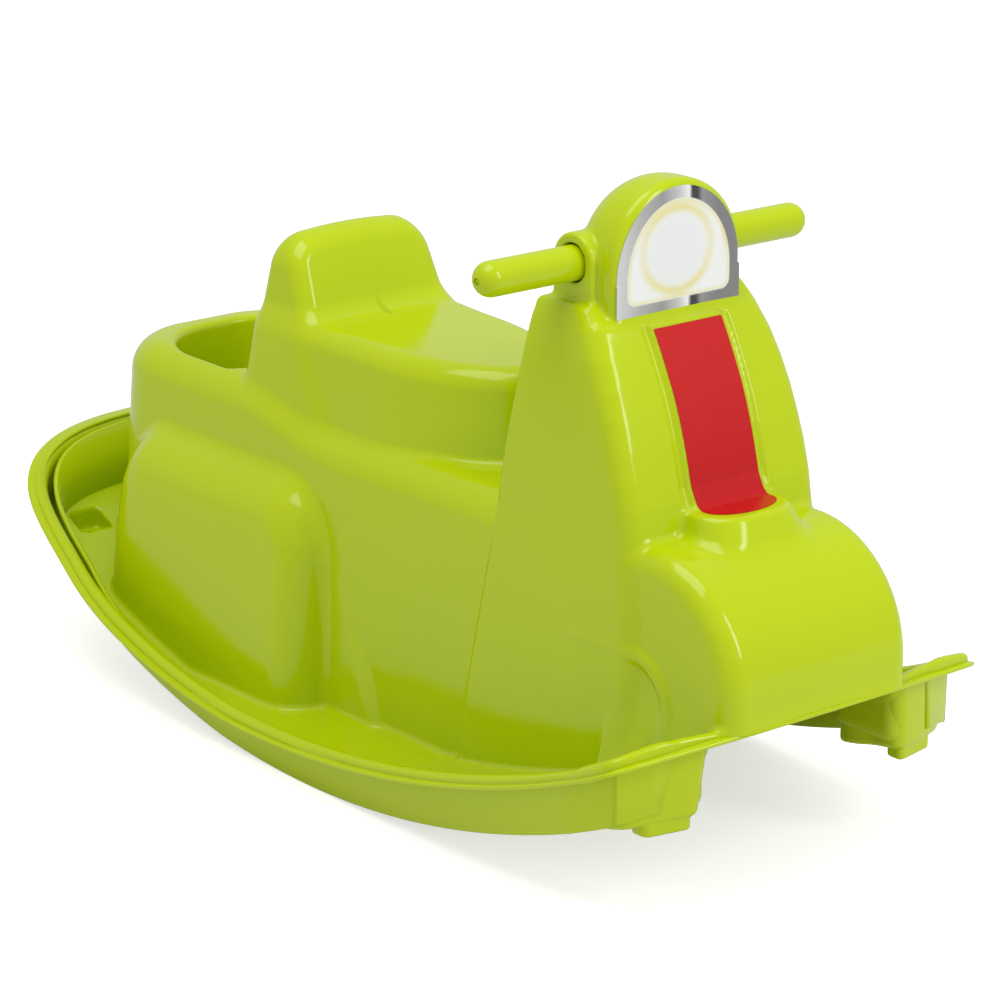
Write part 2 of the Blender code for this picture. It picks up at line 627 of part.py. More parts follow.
def main():
    clear_scene()
    home = new_collection("rocking_scooter")
    cutters = new_collection("cutters", hidden=True)
    lime = material("lime_plastic", (0.50, 0.64, 0.03), 0.18)
    shell = body_shell(home)
    label_seat(bpy.data.collections["shell_masses"])
    shell.data.materials.append(lime)
    for side in (1, -1):
        grip(side, home, cutters).data.materials.append(lime)
    black = material("sleeve_plastic", (0.03, 0.03, 0.03), 0.45)
    steel = material("screw_steel", (0.6, 0.6, 0.62), 0.3, 1.0)
    sleeve(home).data.materials.append(black)
    for side in (1, -1):
        screw(side, home).data.materials.append(steel)
    lamp_label(home).data.materials.append(material("lamp_print", (0.85, 0.85, 0.83), 0.3))
    shield_label(home).data.materials.append(material("red_print", (0.6, 0.01, 0.01), 0.4))


main()
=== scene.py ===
"""Rocking scooter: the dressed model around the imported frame. Shapes are written in millimetres."""

from math import cos, pi, radians, sin

import bmesh
import bpy
import numpy as np
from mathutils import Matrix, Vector


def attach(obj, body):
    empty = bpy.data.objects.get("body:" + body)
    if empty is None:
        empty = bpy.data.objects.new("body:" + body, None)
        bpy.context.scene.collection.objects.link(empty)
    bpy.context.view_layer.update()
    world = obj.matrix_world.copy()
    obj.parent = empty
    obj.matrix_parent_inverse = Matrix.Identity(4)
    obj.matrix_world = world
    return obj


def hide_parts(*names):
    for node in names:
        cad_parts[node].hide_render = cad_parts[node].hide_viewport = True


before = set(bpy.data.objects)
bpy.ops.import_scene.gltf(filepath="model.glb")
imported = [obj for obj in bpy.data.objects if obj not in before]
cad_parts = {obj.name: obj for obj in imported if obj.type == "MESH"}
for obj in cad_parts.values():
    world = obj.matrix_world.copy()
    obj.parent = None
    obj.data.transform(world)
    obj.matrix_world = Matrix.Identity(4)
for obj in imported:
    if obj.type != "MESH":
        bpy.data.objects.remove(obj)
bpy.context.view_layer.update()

MM = 0.001
ROOT = "frame"
BAR_BODY = "handlebar"

# The moulding's one wall, and the grid that its skin is drawn on
WALL = 3.0
STEP = 2.6
SKIN_LOW = (-STEP / 2, -404.0, 20.0)
SKIN_COUNTS = (69, 312, 173)
SKIN_SHARE = 0.36
SKIN_OVER_RIM = 0.6
SLOPE_STEP, LEAST_SLOPE, LONGEST_MOVE = 0.4, 0.2, 1.5

# Curves over y: the rocker, the rim and the tray floor
ROCKER_RADIUS = 801.0
ROCKER_LOW_Y = -26.5
RIM_LOW_Z = 24.3
RIM_LOW_Y = 23.0
RIM_FRONT_BEND = 1800.0
RIM_REAR_BEND = 1080.0
TRAY_FLOOR_Z = 26.1
FLOOR_UNDER_RIM = 7.2
FLOOR_OVER_ROCKER = 5.0

# Outer edge of the rim, seen from above
RIM_OUTLINE = (
    (0, -402), (30, -401.4), (60, -399), (87, -395), (115, -390), (138, -385.8), (151, -383.4),
    (161.5, -380.6), (168.4, -374.6), (170.8, -365), (171, -353), (171, -335), (171, -280), (171, -200),
    (171, -120), (171, -40), (171, 40), (171, 120), (171, 180), (170.4, 215), (167.6, 250), (162, 284),
    (156.5, 318), (151, 340.5), (144, 355.8), (134, 368.5), (120, 379.8), (101, 389), (78, 395.6),
    (48, 399.8), (22, 401.2), (0, 401.5),
)
RIM_STEP = 6.0
RIM_PIECES = 12

# Lip at the rim's edge, and the round bead inside it, higher and wider at the front corners
LIP_WIDTH, LIP_HEIGHT, LIP_RADIUS = 13.0, 3.3, 1.5
BEAD_INSET, BEAD_RADIUS, BEAD_RISE = 10.6, 5.2, 9.0
CORNER_X, CORNER_Y, CORNER_REACH, CORNER_RISE = 126.0, -386.0, 44.0, 5.0
DIAGONAL = 0.7071
CORNER_CUT = 354.5
WEB_INSET, WEB_EDGE, WEB_FILLET = 5.6, 4.6, 4.0
FLOOR_INSET, FLOOR_FILLET = 8.0, 8.0

# Skirt under the rim: its distance inside the rim, its lower edge as (inset, rise), and the gap in its front
SKIRT_INSET, SKIRT_REAR_INSET, SKIRT_REAR_Y, SKIRT_REAR_LENGTH = 10.8, 10.0, 76.0, 200.0
SKIRT_CORNER_X, SKIRT_CORNER_Y, SKIRT_CORNER_REACH, SKIRT_CORNER_INSET = 165.0, -374.0, 48.0, 9.0
SKIRT_RISE, SKIRT_LEAST = 1.0, 6.0
SKIRT_FOOT = ((0.6, 1.0), (1.2, 0.2), (1.9, 0.0), (2.7, 0.2), (3.4, 1.0))
GAP_Y, GAP_HALF, GAP_SKIRT = -375.0, 120.0, 2.5

# Lower body: height, half width at the rear, half width at the front, rear
BODY_TABLE = (
    (0, 91.5, 87.5, 345), (90, 90.8, 87.0, 339.5), (142, 90.3, 86.3, 338), (190, 89.2, 85.0, 334),
    (252, 87.2, 81.5, 329),
)
BODY_FRONT_Y, BODY_CORNERS, BODY_EDGE = -190.0, (12.0, 64.0), 25.0
WAIST_Y, WAIST_LENGTH = 40.0, 110.0
BODY_TOP_Z, STEP_DROP, STEP_Y, STEP_LENGTH = 251.8, 19.5, 150.0, 120.0

# Side cowls: height, half width, front, rear
COWL_TABLE = (
    (0, 130, 17, 318), (60, 126.5, 18, 317), (110, 122.5, 20, 313), (150, 118, 22, 306), (200, 110, 24, 296),
)
COWL_CORNERS, COWL_EDGE, COWL_FILLET = (42.0, 66.0), 34.0, 9.0
COWL_Y, COWL_HALF_LENGTH, COWL_LOW_Z, COWL_TOP_Z = 160.0, 138.0, -100.0, 194.5
COWL_ENDS = (1.0, 60.0)

# Seat with its round nose
SEAT_FOOT_Z, SEAT_NOSE_Y, SEAT_REACH, SEAT_REAR_Y = 250.0, 20.0, 133.0, 156.0
SEAT_HALF, SEAT_WIDENING, SEAT_WIDENING_LENGTH = 71.5, 4.5, 90.0
SEAT_SIDE_DRAFT, SEAT_NOSE_DRAFT, REAR_DRAFT = 0.05, 0.10, 0.2
SEAT_TOP_Z, SEAT_CLIMB, SEAT_CLIMB_Y, SEAT_CLIMB_LENGTH = 299.6, 4.4, -80.0, 170.0
SEAT_REAR_EDGE, SEAT_EDGE = 18.0, 16.0

# Back of the seat: its side and its front face are given at one height, and lean from there
BACK_HALF, BACK_HALF_Z, BACK_SIDE_DRAFT = 67.4, 311.0, 0.10
BACK_TOP_Z, BACK_CROWN, BACK_SHOULDER = 364.6, 800.0, 21.0
BACK_FRONT_Y, BACK_FRONT_Z, BACK_LEAN, BACK_SLOPE = 82.0, 300.0, 0.42, 0.92
BACK_REAR_Y, BACK_EDGE, BACK_FILLET = 157.5, 13.0, 12.0

# Leg shield: height, half width, side ridge y, centre y, rear y
SHIELD_TABLE = (
    (0, 91.5, -308, -321, -117), (88, 90.3, -308, -321, -131.5), (189, 88.2, -306, -315, -154),
    (233, 87.0, -300, -305, -162), (253, 86.8, -297, -300.8, -165), (273, 86.4, -292, -294.6, -169),
    (292, 85.6, -286, -289.3, -173), (311, 84.5, -279, -283, -177), (330, 83.0, -270.5, -275, -180.5),
    (348, 80.7, -261, -266.4, -183.2), (366, 77.0, -249, -257.4, -185.4), (384, 70.5, -236, -248, -187),
    (420, 60, -220, -238, -189),
)
# Its bow: shares of the half width, and how far each has gone from the centre to the ridge
SHIELD_BOW = ((0, 0.38, 0.46, 0.62, 0.80, 0.92, 1.0, 1.2), (0.10, 0.12, 0.22, 0.42, 0.66, 0.86, 1.05, 1.5))
SHIELD_SLOPE, SHIELD_EDGE, SHIELD_REAR_EDGE = 0.95, 13.0, 2.5
# Its top: places ahead of the origin, and the height at each
SHIELD_TOP = ((235.0, 242.6, 248.7, 257.4), (380.5, 372.5, 370.0, 367.0))
SHIELD_TOP_EDGE = 4.0

# The red strip's line down the shield as (height, y), the raised panel under it and the grooves beside that
STRIP_LINE = (
    (249.8, -305.4), (263, -298.6), (278.6, -294.8), (293.6, -290.6), (308.5, -285.6), (323.1, -279.8),
    (337.2, -273.0), (351.1, -265.8), (363.9, -258.4),
)
PANEL_HALF, PANEL_PROUD, PANEL_SLOPE, PANEL_EDGE, PANEL_FILLET = 32.2, 0.4, 0.9, 2.2, 1.6
PANEL_REAR_Y, PANEL_LOW_Z, PANEL_TOP_Z = -235.0, 236.0, 366.6
GROOVE_X, GROOVE_RADIUS, GROOVE_DEPTH, GROOVE_EDGE = 35.6, 2.6, 0.8, 2.4
GROOVE_LOW_Z, GROOVE_HIGH_Z = 246.0, 367.5
TOP_GROOVE_Z, TOP_GROOVE_RADIUS = 369.0, 2.0

# Mudguard, the arch on each side of it, and the pad on it for the strip's tongue
GUARD_Y, GUARD_Z, GUARD_RADIUS = -312.5, 145.5, 86.2
GUARD_HALF, GUARD_EDGE, GUARD_REAR_Y = 83.0, 16.0, -250.0
ARCH_Y, ARCH_Z, ARCH_RADIUS, ARCH_WIDTH = -300.0, 121.0, 37.0, 4.2
ARCH_HALF, ARCH_EDGE, ARCH_FILLET = 86.0, 3.0, 4.0
PAD_Z, PAD_HALF, PAD_FRONT_Y, PAD_REAR_Y = 248.6, 38.5, -336.5, -280.0
PAD_SIDE_DRAFT, PAD_FRONT_DRAFT, PAD_CORNERS = 0.35, 0.5, (27.0, 4.0)
PAD_EDGE, PAD_FILLET = 3.0, 7.0

# Head, its two bosses and the handlebar through them
HEAD_RADIUS, HEAD_CENTRE_Z, HEAD_LOW_Z = 57.5, 403.0, 360.0
HEAD_FRONT_Y, HEAD_REAR_Y = -248.7, -188.0
HEAD_EDGE, HEAD_DOME = 7.0, 41.0
BAR_Y, BAR_Z = -213.0, 406.0
BOSS_RADIUS, BOSS_X, BOSS_LOW_Z, BOSS_EDGE, BOSS_FILLET = 20.6, 64.0, 376.0, 3.0, 2.6
BORE_RADIUS, BORE_START_X, BORE_EDGE = 13.5, 38.0, 1.2
BORE_OVERLAP, BEARING_OVERLAP = 1.6, 1.5
BEARING_X = (49.0, 52.0)
BEARING_GAP, BEARING_LAP = 0.4, 0.1
GRIP_RADIUS = 12.3
GRIP_END_X = 146.0
GRIP_START_GAP, GRIP_CHAMFER = 0.6, 0.6
STUB_RADIUS, STUB_START_X = 9.0, 4.0
DOME_DEGREES, DOME_STEP = 75, 5
# Gate mark in the grip's end: distance beyond the dome's last ring, and radius
GATE_MARK = ((0.25, 2.9), (0.1, 2.6), (-1.4, 2.5), (-1.4, 1.2), (-0.4, 1.0), (-0.4, 0.0))
TURNED_SEGMENTS = 96

# Where the main forms meet
SEAT_FILLET, BODY_FILLET, SHIELD_FILLET, GUARD_FILLET, HEAD_FILLET = 6.0, 5.0, 4.0, 5.0, 4.0

# Storage well
WELL_FLOOR_Z, WELL_HALF, WELL_FRONT_Y, WELL_REAR_Y = 135.0, 62.5, 171.0, 287.5
WELL_SIDE_DRAFT, WELL_END_DRAFT, WELL_CORNERS = 0.06, 0.05, (22.0, 61.0)
WELL_FLOOR_EDGE, WELL_MOUTH_EDGE = 10.0, 5.0

# Pocket in each front corner
POCKET_INNER_X, POCKET_REAR_Y, POCKET_INSET, POCKET_FLOOR_Z = 88.5, -321.0, 16.5, 75.5
POCKET_CORNER, POCKET_OUTER_CORNER, POCKET_FLOOR_EDGE, POCKET_MOUTH_EDGE = 8.0, 22.0, 6.0, 3.0

# Hollow of each rear stop, whose half width is given at one place and shrinks towards the rear
REAR_STOP_X, REAR_STOP_Y, REAR_STOP_DEPTH, REAR_STOP_FLOOR_Z = 92.0, 348.0, 11.0, 80.0
REAR_STOP_HALF, REAR_STOP_HALF_Y, REAR_STOP_TAPER = 14.0, 350.0, 0.03
REAR_STOP_CORNER, REAR_STOP_FLOOR_EDGE, REAR_STOP_MOUTH_EDGE = 4.0, 3.0, 2.0

# Front leg under each pocket, given at its top and drafted downwards, and the stop under it
LEG_LOW, LEG_STEP, LEG_COUNTS = (78.0, -392.0, 50.0), 1.6, (56, 50, 48)
LEG_TOP_Z = 118.0
LEG_INNER_X, LEG_INNER_DRAFT = 85.3, 0.11
LEG_FLUTE, LEG_FLUTE_Y, LEG_FLUTE_LENGTH = 0.9, -352.0, 34.0
LEG_OUTER_X, LEG_OUTER_DRAFT, LEG_OUTER_Y, LEG_OUTER_SPLAY = 152.8, 0.08, -330.0, 0.02
LEG_FRONT_Y, LEG_FRONT_DRAFT, LEG_FRONT_X, LEG_FRONT_SPLAY = -384.5, 0.05, 87.0, 0.2
LEG_CUT_X, LEG_CUT_Y, LEG_CUT_WAY = 143.0, -372.0, (0.62, 0.78)
LEG_REAR_Y, LEG_REAR_Z, LEG_REAR_DRAFT = -318.0, 60.0, 0.12
LEG_LOW_Z, LEG_LOW_Y, LEG_LOW_SLOPE, LEG_LOW_LENGTH = 68.3, -372.0, 0.22, 60.0
LEG_OVER_RIM = 1.0
LEG_CORNER, LEG_CUT_CORNER, LEG_REAR_CORNER, LEG_FOOT_EDGE = 9.0, 16.0, 6.0, 5.0
STOP_X, STOP_Y, STOP_HALF, STOP_DEPTH = 114.0, -366.5, 18.0, 8.0
STOP_LOW_Z, STOP_TOP_Z = 59.5, 80.0
STOP_CORNER, STOP_FOOT_EDGE, STOP_FILLET = 5.0, 2.0, 1.2

# Printed films: how far each side of a film lies off the skin, and the outline of each
FILM_OUT, FILM_IN = 0.45, 0.12
LAMP_HALF, LAMP_LOW_Z, LAMP_CROWN_Z, LAMP_RISE = 54.9, 371.8, 395.0, 60.9
LAMP_ROWS, LAMP_COLUMNS = (40, 150), 171
STRIP_HALF = 30.4
STRIP_ROWS, STRIP_COLUMNS = (110, 30), 41
FOLD_LINE = ((-302.2, 258.0), (-305.2, 252.6), (-309.0, 249.8), (-313.0, 249.0))
TONGUE_Y, TONGUE_Z, TONGUE_ROUND = -330.0, 248.9, 17.0
# The tongue's round end stops just short of its quarter turn, so it has no sharp point
END_TURN, LEAST_SHARE = 1.53, 0.0004

# The lamp's print: the border's brightness over x, the lens, its hub, ring and upper arc
BORDER_TONES = (
    (-54.9, 0.66), (-35, 0.44), (-15, 0.30), (0, 0.56), (8, 0.88), (11, 0.02), (16, 0.02), (20, 0.26),
    (35, 0.19), (54.9, 0.20),
)
LENS_HALF, LENS_LOW_Z, LENS_CROWN_Z, LENS_RISE, LENS_CORNER = 45.7, 379.0, 396.0, 51.5, 7.0
DEEP_INSIDE = -9.0
LENS_EDGE_IN, LENS_EDGE_WIDTH, LENS_EDGE_STRENGTH = -1.4, 1.3, 0.55
RING_X, RING_Z, RING_STRETCH, RING_RADIUS, RING_WIDTH = -2.0, 413.0, 1.06, 28.5, 3.4
RING_STRENGTH, RING_SWING, RING_SWING_LENGTH = 0.75, 0.25, 12.0
ARC_RADIUS, ARC_LINE, ARC_LOW, ARC_GAIN = 41.0, 2.6, 0.15, 0.65
ARC_Z, ARC_SOFT, ARC_GAIN_Z, ARC_GAIN_LENGTH = 400.0, 14.0, 395.0, 55.0
HUB_RADIUS, HUB_SOFT, HUB_STRENGTH = 24.0, 6.0, 0.35
LENS_WHITE, LENS_WARM, LENS_COOL = (0.87, 0.89, 0.88), (0.80, 0.73, 0.30), (0.74, 0.77, 0.80)
# Red strip: its own red high on the shield, and a darker red at its low end and on the tongue that is
# painted shade; the height where the painted shade is deepest, and the rise over which it fades out
RED_SHADED_LOW, RED_HIGH, RED_SHADE_LOW_Z, RED_SHADE_RISE = (0.52, 0.004, 0.006), (0.56, 0.011, 0.011), 250.0, 110.0

# Looks: colour, roughness, mirror strength and metal; a film's are roughness, wear and mirror strength
LIME_LOOK = ((0.495, 0.622, 0.002), 0.14, 0.34, 0.0)
BLACK_LOOK = ((0.03, 0.03, 0.032), 0.5, 0.5, 0.0)
STEEL_LOOK = ((0.55, 0.55, 0.57), 0.3, 0.5, 1.0)
LAMP_LOOK = (0.22, 0.05, 0.45)
STRIP_LOOK = (0.34, 0.012, 0.16)
CRISP_DEGREES = 38

# Studio and camera; the camera's places are in metres
WORLD_LIGHT, FLOOR_GLOW, FLOOR_GREY, FLOOR_HALF = 0.62, 0.62, 0.8, 4000.0
LIGHT_AIM = (0, -20, 200)
VIEW_AZIMUTH, VIEW_ELEVATION, VIEW_LENS, VIEW_SENSOR = -39.1, 17.5, 134.64, 36
VIEW_TARGET, VIEW_DISTANCE, VIEW_END = (0, -0.0585, 0.18945), 2.7145, 20


def rocker_z(y):
    return (y - ROCKER_LOW_Y) ** 2 / (2 * ROCKER_RADIUS)


def rim_z(y):
    bend = np.where(y < RIM_LOW_Y, RIM_FRONT_BEND, RIM_REAR_BEND)
    return RIM_LOW_Z + (y - RIM_LOW_Y) ** 2 / bend


def tray_floor(y):
    front = rim_z(y) - FLOOR_UNDER_RIM
    rear = rocker_z(y) + FLOOR_OVER_ROCKER
    return np.maximum(TRAY_FLOOR_Z, np.where(y < 0, front, rear))


def eased(share):
    share = np.clip(share, 0, 1)
    return share * share * (3 - 2 * share)


def body_top(y):
    return BODY_TOP_Z - STEP_DROP * eased((STEP_Y - y) / STEP_LENGTH)


def seat_top(y):
    return SEAT_TOP_Z + SEAT_CLIMB * np.clip((y - SEAT_CLIMB_Y) / SEAT_CLIMB_LENGTH, 0, 1)


def round_max(a, b, radius):
    """Where two forms meet at an outer edge, rounded."""
    u = np.maximum(radius + a, 0)
    v = np.maximum(radius + b, 0)
    return np.minimum(-radius, np.maximum(a, b)) + np.sqrt(u * u + v * v)


def fillet_min(a, b, radius):
    """Where two forms meet at an inner corner, filleted."""
    u = np.maximum(radius - a, 0)
    v = np.maximum(radius - b, 0)
    return np.maximum(radius, np.minimum(a, b)) - np.sqrt(u * u + v * v)


def curve_point(p, i, times, t):
    """A point of the smooth curve through the points p, between point i and point i + 1."""
    t0, t1, t2, t3 = times
    a1 = (t1 - t) / (t1 - t0) * p[i - 1] + (t - t0) / (t1 - t0) * p[i]
    a2 = (t2 - t) / (t2 - t1) * p[i] + (t - t1) / (t2 - t1) * p[i + 1]
    a3 = (t3 - t) / (t3 - t2) * p[i + 1] + (t - t2) / (t3 - t2) * p[i + 2]
    b1 = (t2 - t) / (t2 - t0) * a1 + (t - t0) / (t2 - t0) * a2
    b2 = (t3 - t) / (t3 - t1) * a2 + (t - t1) / (t3 - t1) * a3
    return (t2 - t) / (t2 - t1) * b1 + (t - t1) / (t2 - t1) * b2


def smooth_path(points, step):
    """A half outline's points carried on a smooth curve, evenly spaced."""
    p = np.array(points, float)
    p = np.vstack([p[1:2] * (-1, 1), p, p[-2:-1] * (-1, 1)])
    fine = []
    for i in range(1, len(p) - 2):
        chords = [np.sqrt(np.linalg.norm(p[i + k + 1] - p[i + k])) for k in (-1, 0, 1)]
        times = np.cumsum([0] + chords)
        for t in np.linspace(times[1], times[2], RIM_PIECES, endpoint=False):
            fine.append(curve_point(p, i, times, t))
    fine.append(p[-2])
    fine = np.array(fine)
    length = np.concatenate([[0], np.cumsum(np.linalg.norm(np.diff(fine, axis=0), axis=1))])
    at = np.linspace(0, length[-1], int(length[-1] / step) + 1)
    return np.stack([np.interp(at, length, fine[:, k]) for k in (0, 1)], -1)


RIM_PATH = smooth_path(RIM_OUTLINE, RIM_STEP)


def rim_inset(x, y):
    """How far inside the rim's outer edge a plan point lies."""
    x, y = np.broadcast_arrays(np.abs(x), y)
    flat = np.stack([x.ravel(), y.ravel()], -1).astype(np.float32)
    best = np.full(len(flat), 1e9, np.float32)
    inside = np.ones(len(flat), np.float32)
    path = RIM_PATH.astype(np.float32)
    for a, b in zip(path[:-1], path[1:]):
        along = b - a
        rel = flat - a
        t = np.clip((rel @ along) / (along @ along), 0, 1)
        away = rel - t[:, None] * along
        d = np.einsum("ij,ij->i", away, away)
        side = along[0] * rel[:, 1] - along[1] * rel[:, 0]
        nearer = d < best
        best = np.where(nearer, d, best)
        inside = np.where(nearer, np.sign(side), inside)
    return (np.sqrt(best) * inside).reshape(x.shape)


def at_height(z, table):
    """Each column of a (z, value, value...) table at height z."""
    rows = np.array(table, float)
    return [np.interp(z, rows[:, 0], rows[:, k]) for k in range(1, rows.shape[1])]


def rounded_plan(x, y, half, front, rear, corners):
    """Signed distance in plan to a rounded box. corners are its radii at the front and at the rear."""
    middle = (front + rear) / 2
    radius = np.where(y < middle, corners[0], corners[1])
    depth = (rear - front) / 2
    qx = np.abs(x) - half + radius
    qy = np.abs(y - middle) - depth + radius
    return np.hypot(np.maximum(qx, 0), np.maximum(qy, 0)) + np.minimum(np.maximum(qx, qy), 0) - radius


def quarter_drum(y, z, centre_y, centre_z):
    """Distance from a drum's axis where it is round, ahead and above, and from flat walls elsewhere."""
    ahead, above = centre_y - y, z - centre_z
    return np.hypot(np.maximum(ahead, 0), np.maximum(above, 0)) + np.minimum(np.maximum(ahead, above), 0)


def tray_form(x, y, z, s):
    """Tray floor and the round bead along the rim, wider at the two front corners."""
    corner = np.exp(-((np.abs(x) - CORNER_X) ** 2 + (y - CORNER_Y) ** 2) / CORNER_REACH ** 2)
    top = rim_z(y) + BEAD_RISE + CORNER_RISE * corner
    bead = np.hypot(s - BEAD_INSET, np.maximum(z - top + BEAD_RADIUS, 0)) - BEAD_RADIUS
    web = round_max(CORNER_CUT - (x - y) * DIAGONAL, z - top, WEB_EDGE)
    web = round_max(web, WEB_INSET - s, WEB_EDGE)
    bead = fillet_min(bead, web, WEB_FILLET)
    slab = np.maximum(z - tray_floor(y), FLOOR_INSET - s)
    return fillet_min(bead, slab, FLOOR_FILLET)


def rear_form(x, y, z):
    """Body block round the storage well, with its side cowls."""
    rear_half, front_half, rear = at_height(z, BODY_TABLE)
    half = rear_half + (front_half - rear_half) * eased((WAIST_Y - y) / WAIST_LENGTH)
    block = rounded_plan(x, y, half, BODY_FRONT_Y, rear, BODY_CORNERS)
    block = round_max(block, z - body_top(y), BODY_EDGE)
    half, front, rear = at_height(z, COWL_TABLE)
    cowl = rounded_plan(x, y, half, front, rear, COWL_CORNERS)
    profile = rounded_plan(y - COWL_Y, z, COWL_HALF_LENGTH, COWL_LOW_Z, COWL_TOP_Z, COWL_ENDS)
    cowl = round_max(cowl, profile, COWL_EDGE)
    return fillet_min(block, cowl, COWL_FILLET)


def seat_form(x, y, z):
    """Seat with a round nose, and its back."""
    rise = z - SEAT_FOOT_Z
    widening = SEAT_WIDENING * eased((y - SEAT_NOSE_Y) / SEAT_WIDENING_LENGTH)
    half = SEAT_HALF + widening - SEAT_SIDE_DRAFT * rise
    reach = SEAT_REACH - SEAT_NOSE_DRAFT * rise
    ahead = np.minimum(y - SEAT_NOSE_Y, 0)
    k0 = np.hypot(x / half, ahead / reach)
    k1 = np.hypot(x / half ** 2, ahead / reach ** 2) + 1e-9
    seat = k0 * (k0 - 1) / k1
    seat = round_max(seat, y - SEAT_REAR_Y + REAR_DRAFT * rise, SEAT_REAR_EDGE)
    seat = round_max(seat, z - seat_top(y), SEAT_EDGE)
    side = x - BACK_HALF + BACK_SIDE_DRAFT * (z - BACK_HALF_Z)
    back = round_max(side, z - BACK_TOP_Z + x * x / BACK_CROWN, BACK_SHOULDER)
    front = (BACK_FRONT_Y + BACK_LEAN * (z - BACK_FRONT_Z) - y) * BACK_SLOPE
    faces = np.maximum(front, y - BACK_REAR_Y + REAR_DRAFT * rise)
    back = round_max(back, faces, BACK_EDGE)
    return fillet_min(seat, back, BACK_FILLET)


def shield_form(x, y, z):
    """Leg shield with the raised panel for the red strip and a groove on each side of it."""
    half, ridge, centre, rear = at_height(z, SHIELD_TABLE)
    bow = np.interp(x / half, *SHIELD_BOW)
    face = centre + bow * (ridge - centre) - y
    shield = round_max(x - half, face * SHIELD_SLOPE, SHIELD_EDGE)
    shield = round_max(shield, y - rear, SHIELD_REAR_EDGE)
    shield = round_max(shield, z - np.interp(-y, *SHIELD_TOP), SHIELD_TOP_EDGE)
    line = np.array(STRIP_LINE)
    strip = np.interp(z, line[:, 0], line[:, 1])
    ahead = (strip + PANEL_PROUD - y) * PANEL_SLOPE
    behind = np.maximum(-ahead - GROOVE_DEPTH, 0)
    groove = np.hypot(x - GROOVE_X, behind) - GROOVE_RADIUS
    groove = np.maximum(groove, np.maximum(z - GROOVE_HIGH_Z, GROOVE_LOW_Z - z))
    top_groove = np.maximum(np.hypot(z - TOP_GROOVE_Z, behind) - TOP_GROOVE_RADIUS, x - GROOVE_X)
    shield = round_max(shield, -np.minimum(groove, top_groove), GROOVE_EDGE)
    panel = round_max(x - PANEL_HALF, ahead, PANEL_EDGE)
    panel = round_max(panel, z - PANEL_TOP_Z, PANEL_EDGE)
    panel = np.maximum(np.maximum(panel, y - PANEL_REAR_Y), PANEL_LOW_Z - z)
    return fillet_min(shield, panel, PANEL_FILLET)


def mudguard_form(x, y, z):
    """Quarter drum with rounded ends, an inner arch on each side, and the pad under the strip's tongue."""
    guard = round_max(quarter_drum(y, z, GUARD_Y, GUARD_Z) - GUARD_RADIUS, x - GUARD_HALF, GUARD_EDGE)
    arch = np.abs(quarter_drum(y, z, ARCH_Y, ARCH_Z) - ARCH_RADIUS) - ARCH_WIDTH
    arch = round_max(arch, x - ARCH_HALF, ARCH_EDGE)
    guard = fillet_min(guard, arch, ARCH_FILLET)
    guard = np.maximum(guard, y - GUARD_REAR_Y)
    under = PAD_Z - z
    front = PAD_FRONT_Y - PAD_FRONT_DRAFT * under
    pad = rounded_plan(x, y, PAD_HALF + PAD_SIDE_DRAFT * under, front, PAD_REAR_Y, PAD_CORNERS)
    pad = round_max(pad, z - PAD_Z, PAD_EDGE)
    return fillet_min(guard, pad, PAD_FILLET)


def head_form(x, y, z):
    """Headlight housing with a domed back, and a boss on each side where the handlebar goes in."""
    arch = np.hypot(x, np.maximum(z - HEAD_CENTRE_Z, 0))
    arch = np.where(z > HEAD_CENTRE_Z, arch, x) - HEAD_RADIUS
    head = round_max(arch, HEAD_FRONT_Y - y, HEAD_EDGE)
    head = round_max(head, y - HEAD_REAR_Y, HEAD_DOME)
    head = np.maximum(head, HEAD_LOW_Z - z)
    ring = np.hypot(y - BAR_Y, np.maximum(z - BAR_Z, 0))
    boss = np.where(z > BAR_Z, ring, np.abs(y - BAR_Y)) - BOSS_RADIUS
    boss = round_max(boss, x - BOSS_X, BOSS_EDGE)
    boss = np.maximum(boss, BOSS_LOW_Z - z)
    return fillet_min(head, boss, BOSS_FILLET)


def bore_form(x, y, z):
    """Round hole in the boss."""
    return np.maximum(np.hypot(y - BAR_Y, z - BAR_Z) - BORE_RADIUS, BORE_START_X - x)


def well_form(x, y, z):
    """Storage well behind the seat."""
    rise = z - WELL_FLOOR_Z
    half = WELL_HALF + WELL_SIDE_DRAFT * rise
    front, rear = WELL_FRONT_Y - WELL_END_DRAFT * rise, WELL_REAR_Y + WELL_END_DRAFT * rise
    well = rounded_plan(x, y, half, front, rear, WELL_CORNERS)
    return round_max(well, WELL_FLOOR_Z - z, WELL_FLOOR_EDGE)


def pocket_form(x, y, z, s):
    """Pocket in a front corner."""
    pocket = round_max(POCKET_INNER_X - x, y - POCKET_REAR_Y, POCKET_CORNER)
    pocket = round_max(pocket, POCKET_INSET - s, POCKET_CORNER)
    pocket = round_max(pocket, (x - y) * DIAGONAL - CORNER_CUT, POCKET_OUTER_CORNER)
    return round_max(pocket, POCKET_FLOOR_Z - z, POCKET_FLOOR_EDGE)


def rear_stop_form(x, y, z):
    """Hollow of a rear stop."""
    shrunk = REAR_STOP_TAPER * REAR_STOP_HALF_Y
    side = np.abs(x - REAR_STOP_X) - REAR_STOP_HALF + REAR_STOP_TAPER * y - shrunk
    stop = round_max(side, np.abs(y - REAR_STOP_Y) - REAR_STOP_DEPTH, REAR_STOP_CORNER)
    return round_max(stop, REAR_STOP_FLOOR_Z - z, REAR_STOP_FLOOR_EDGE)


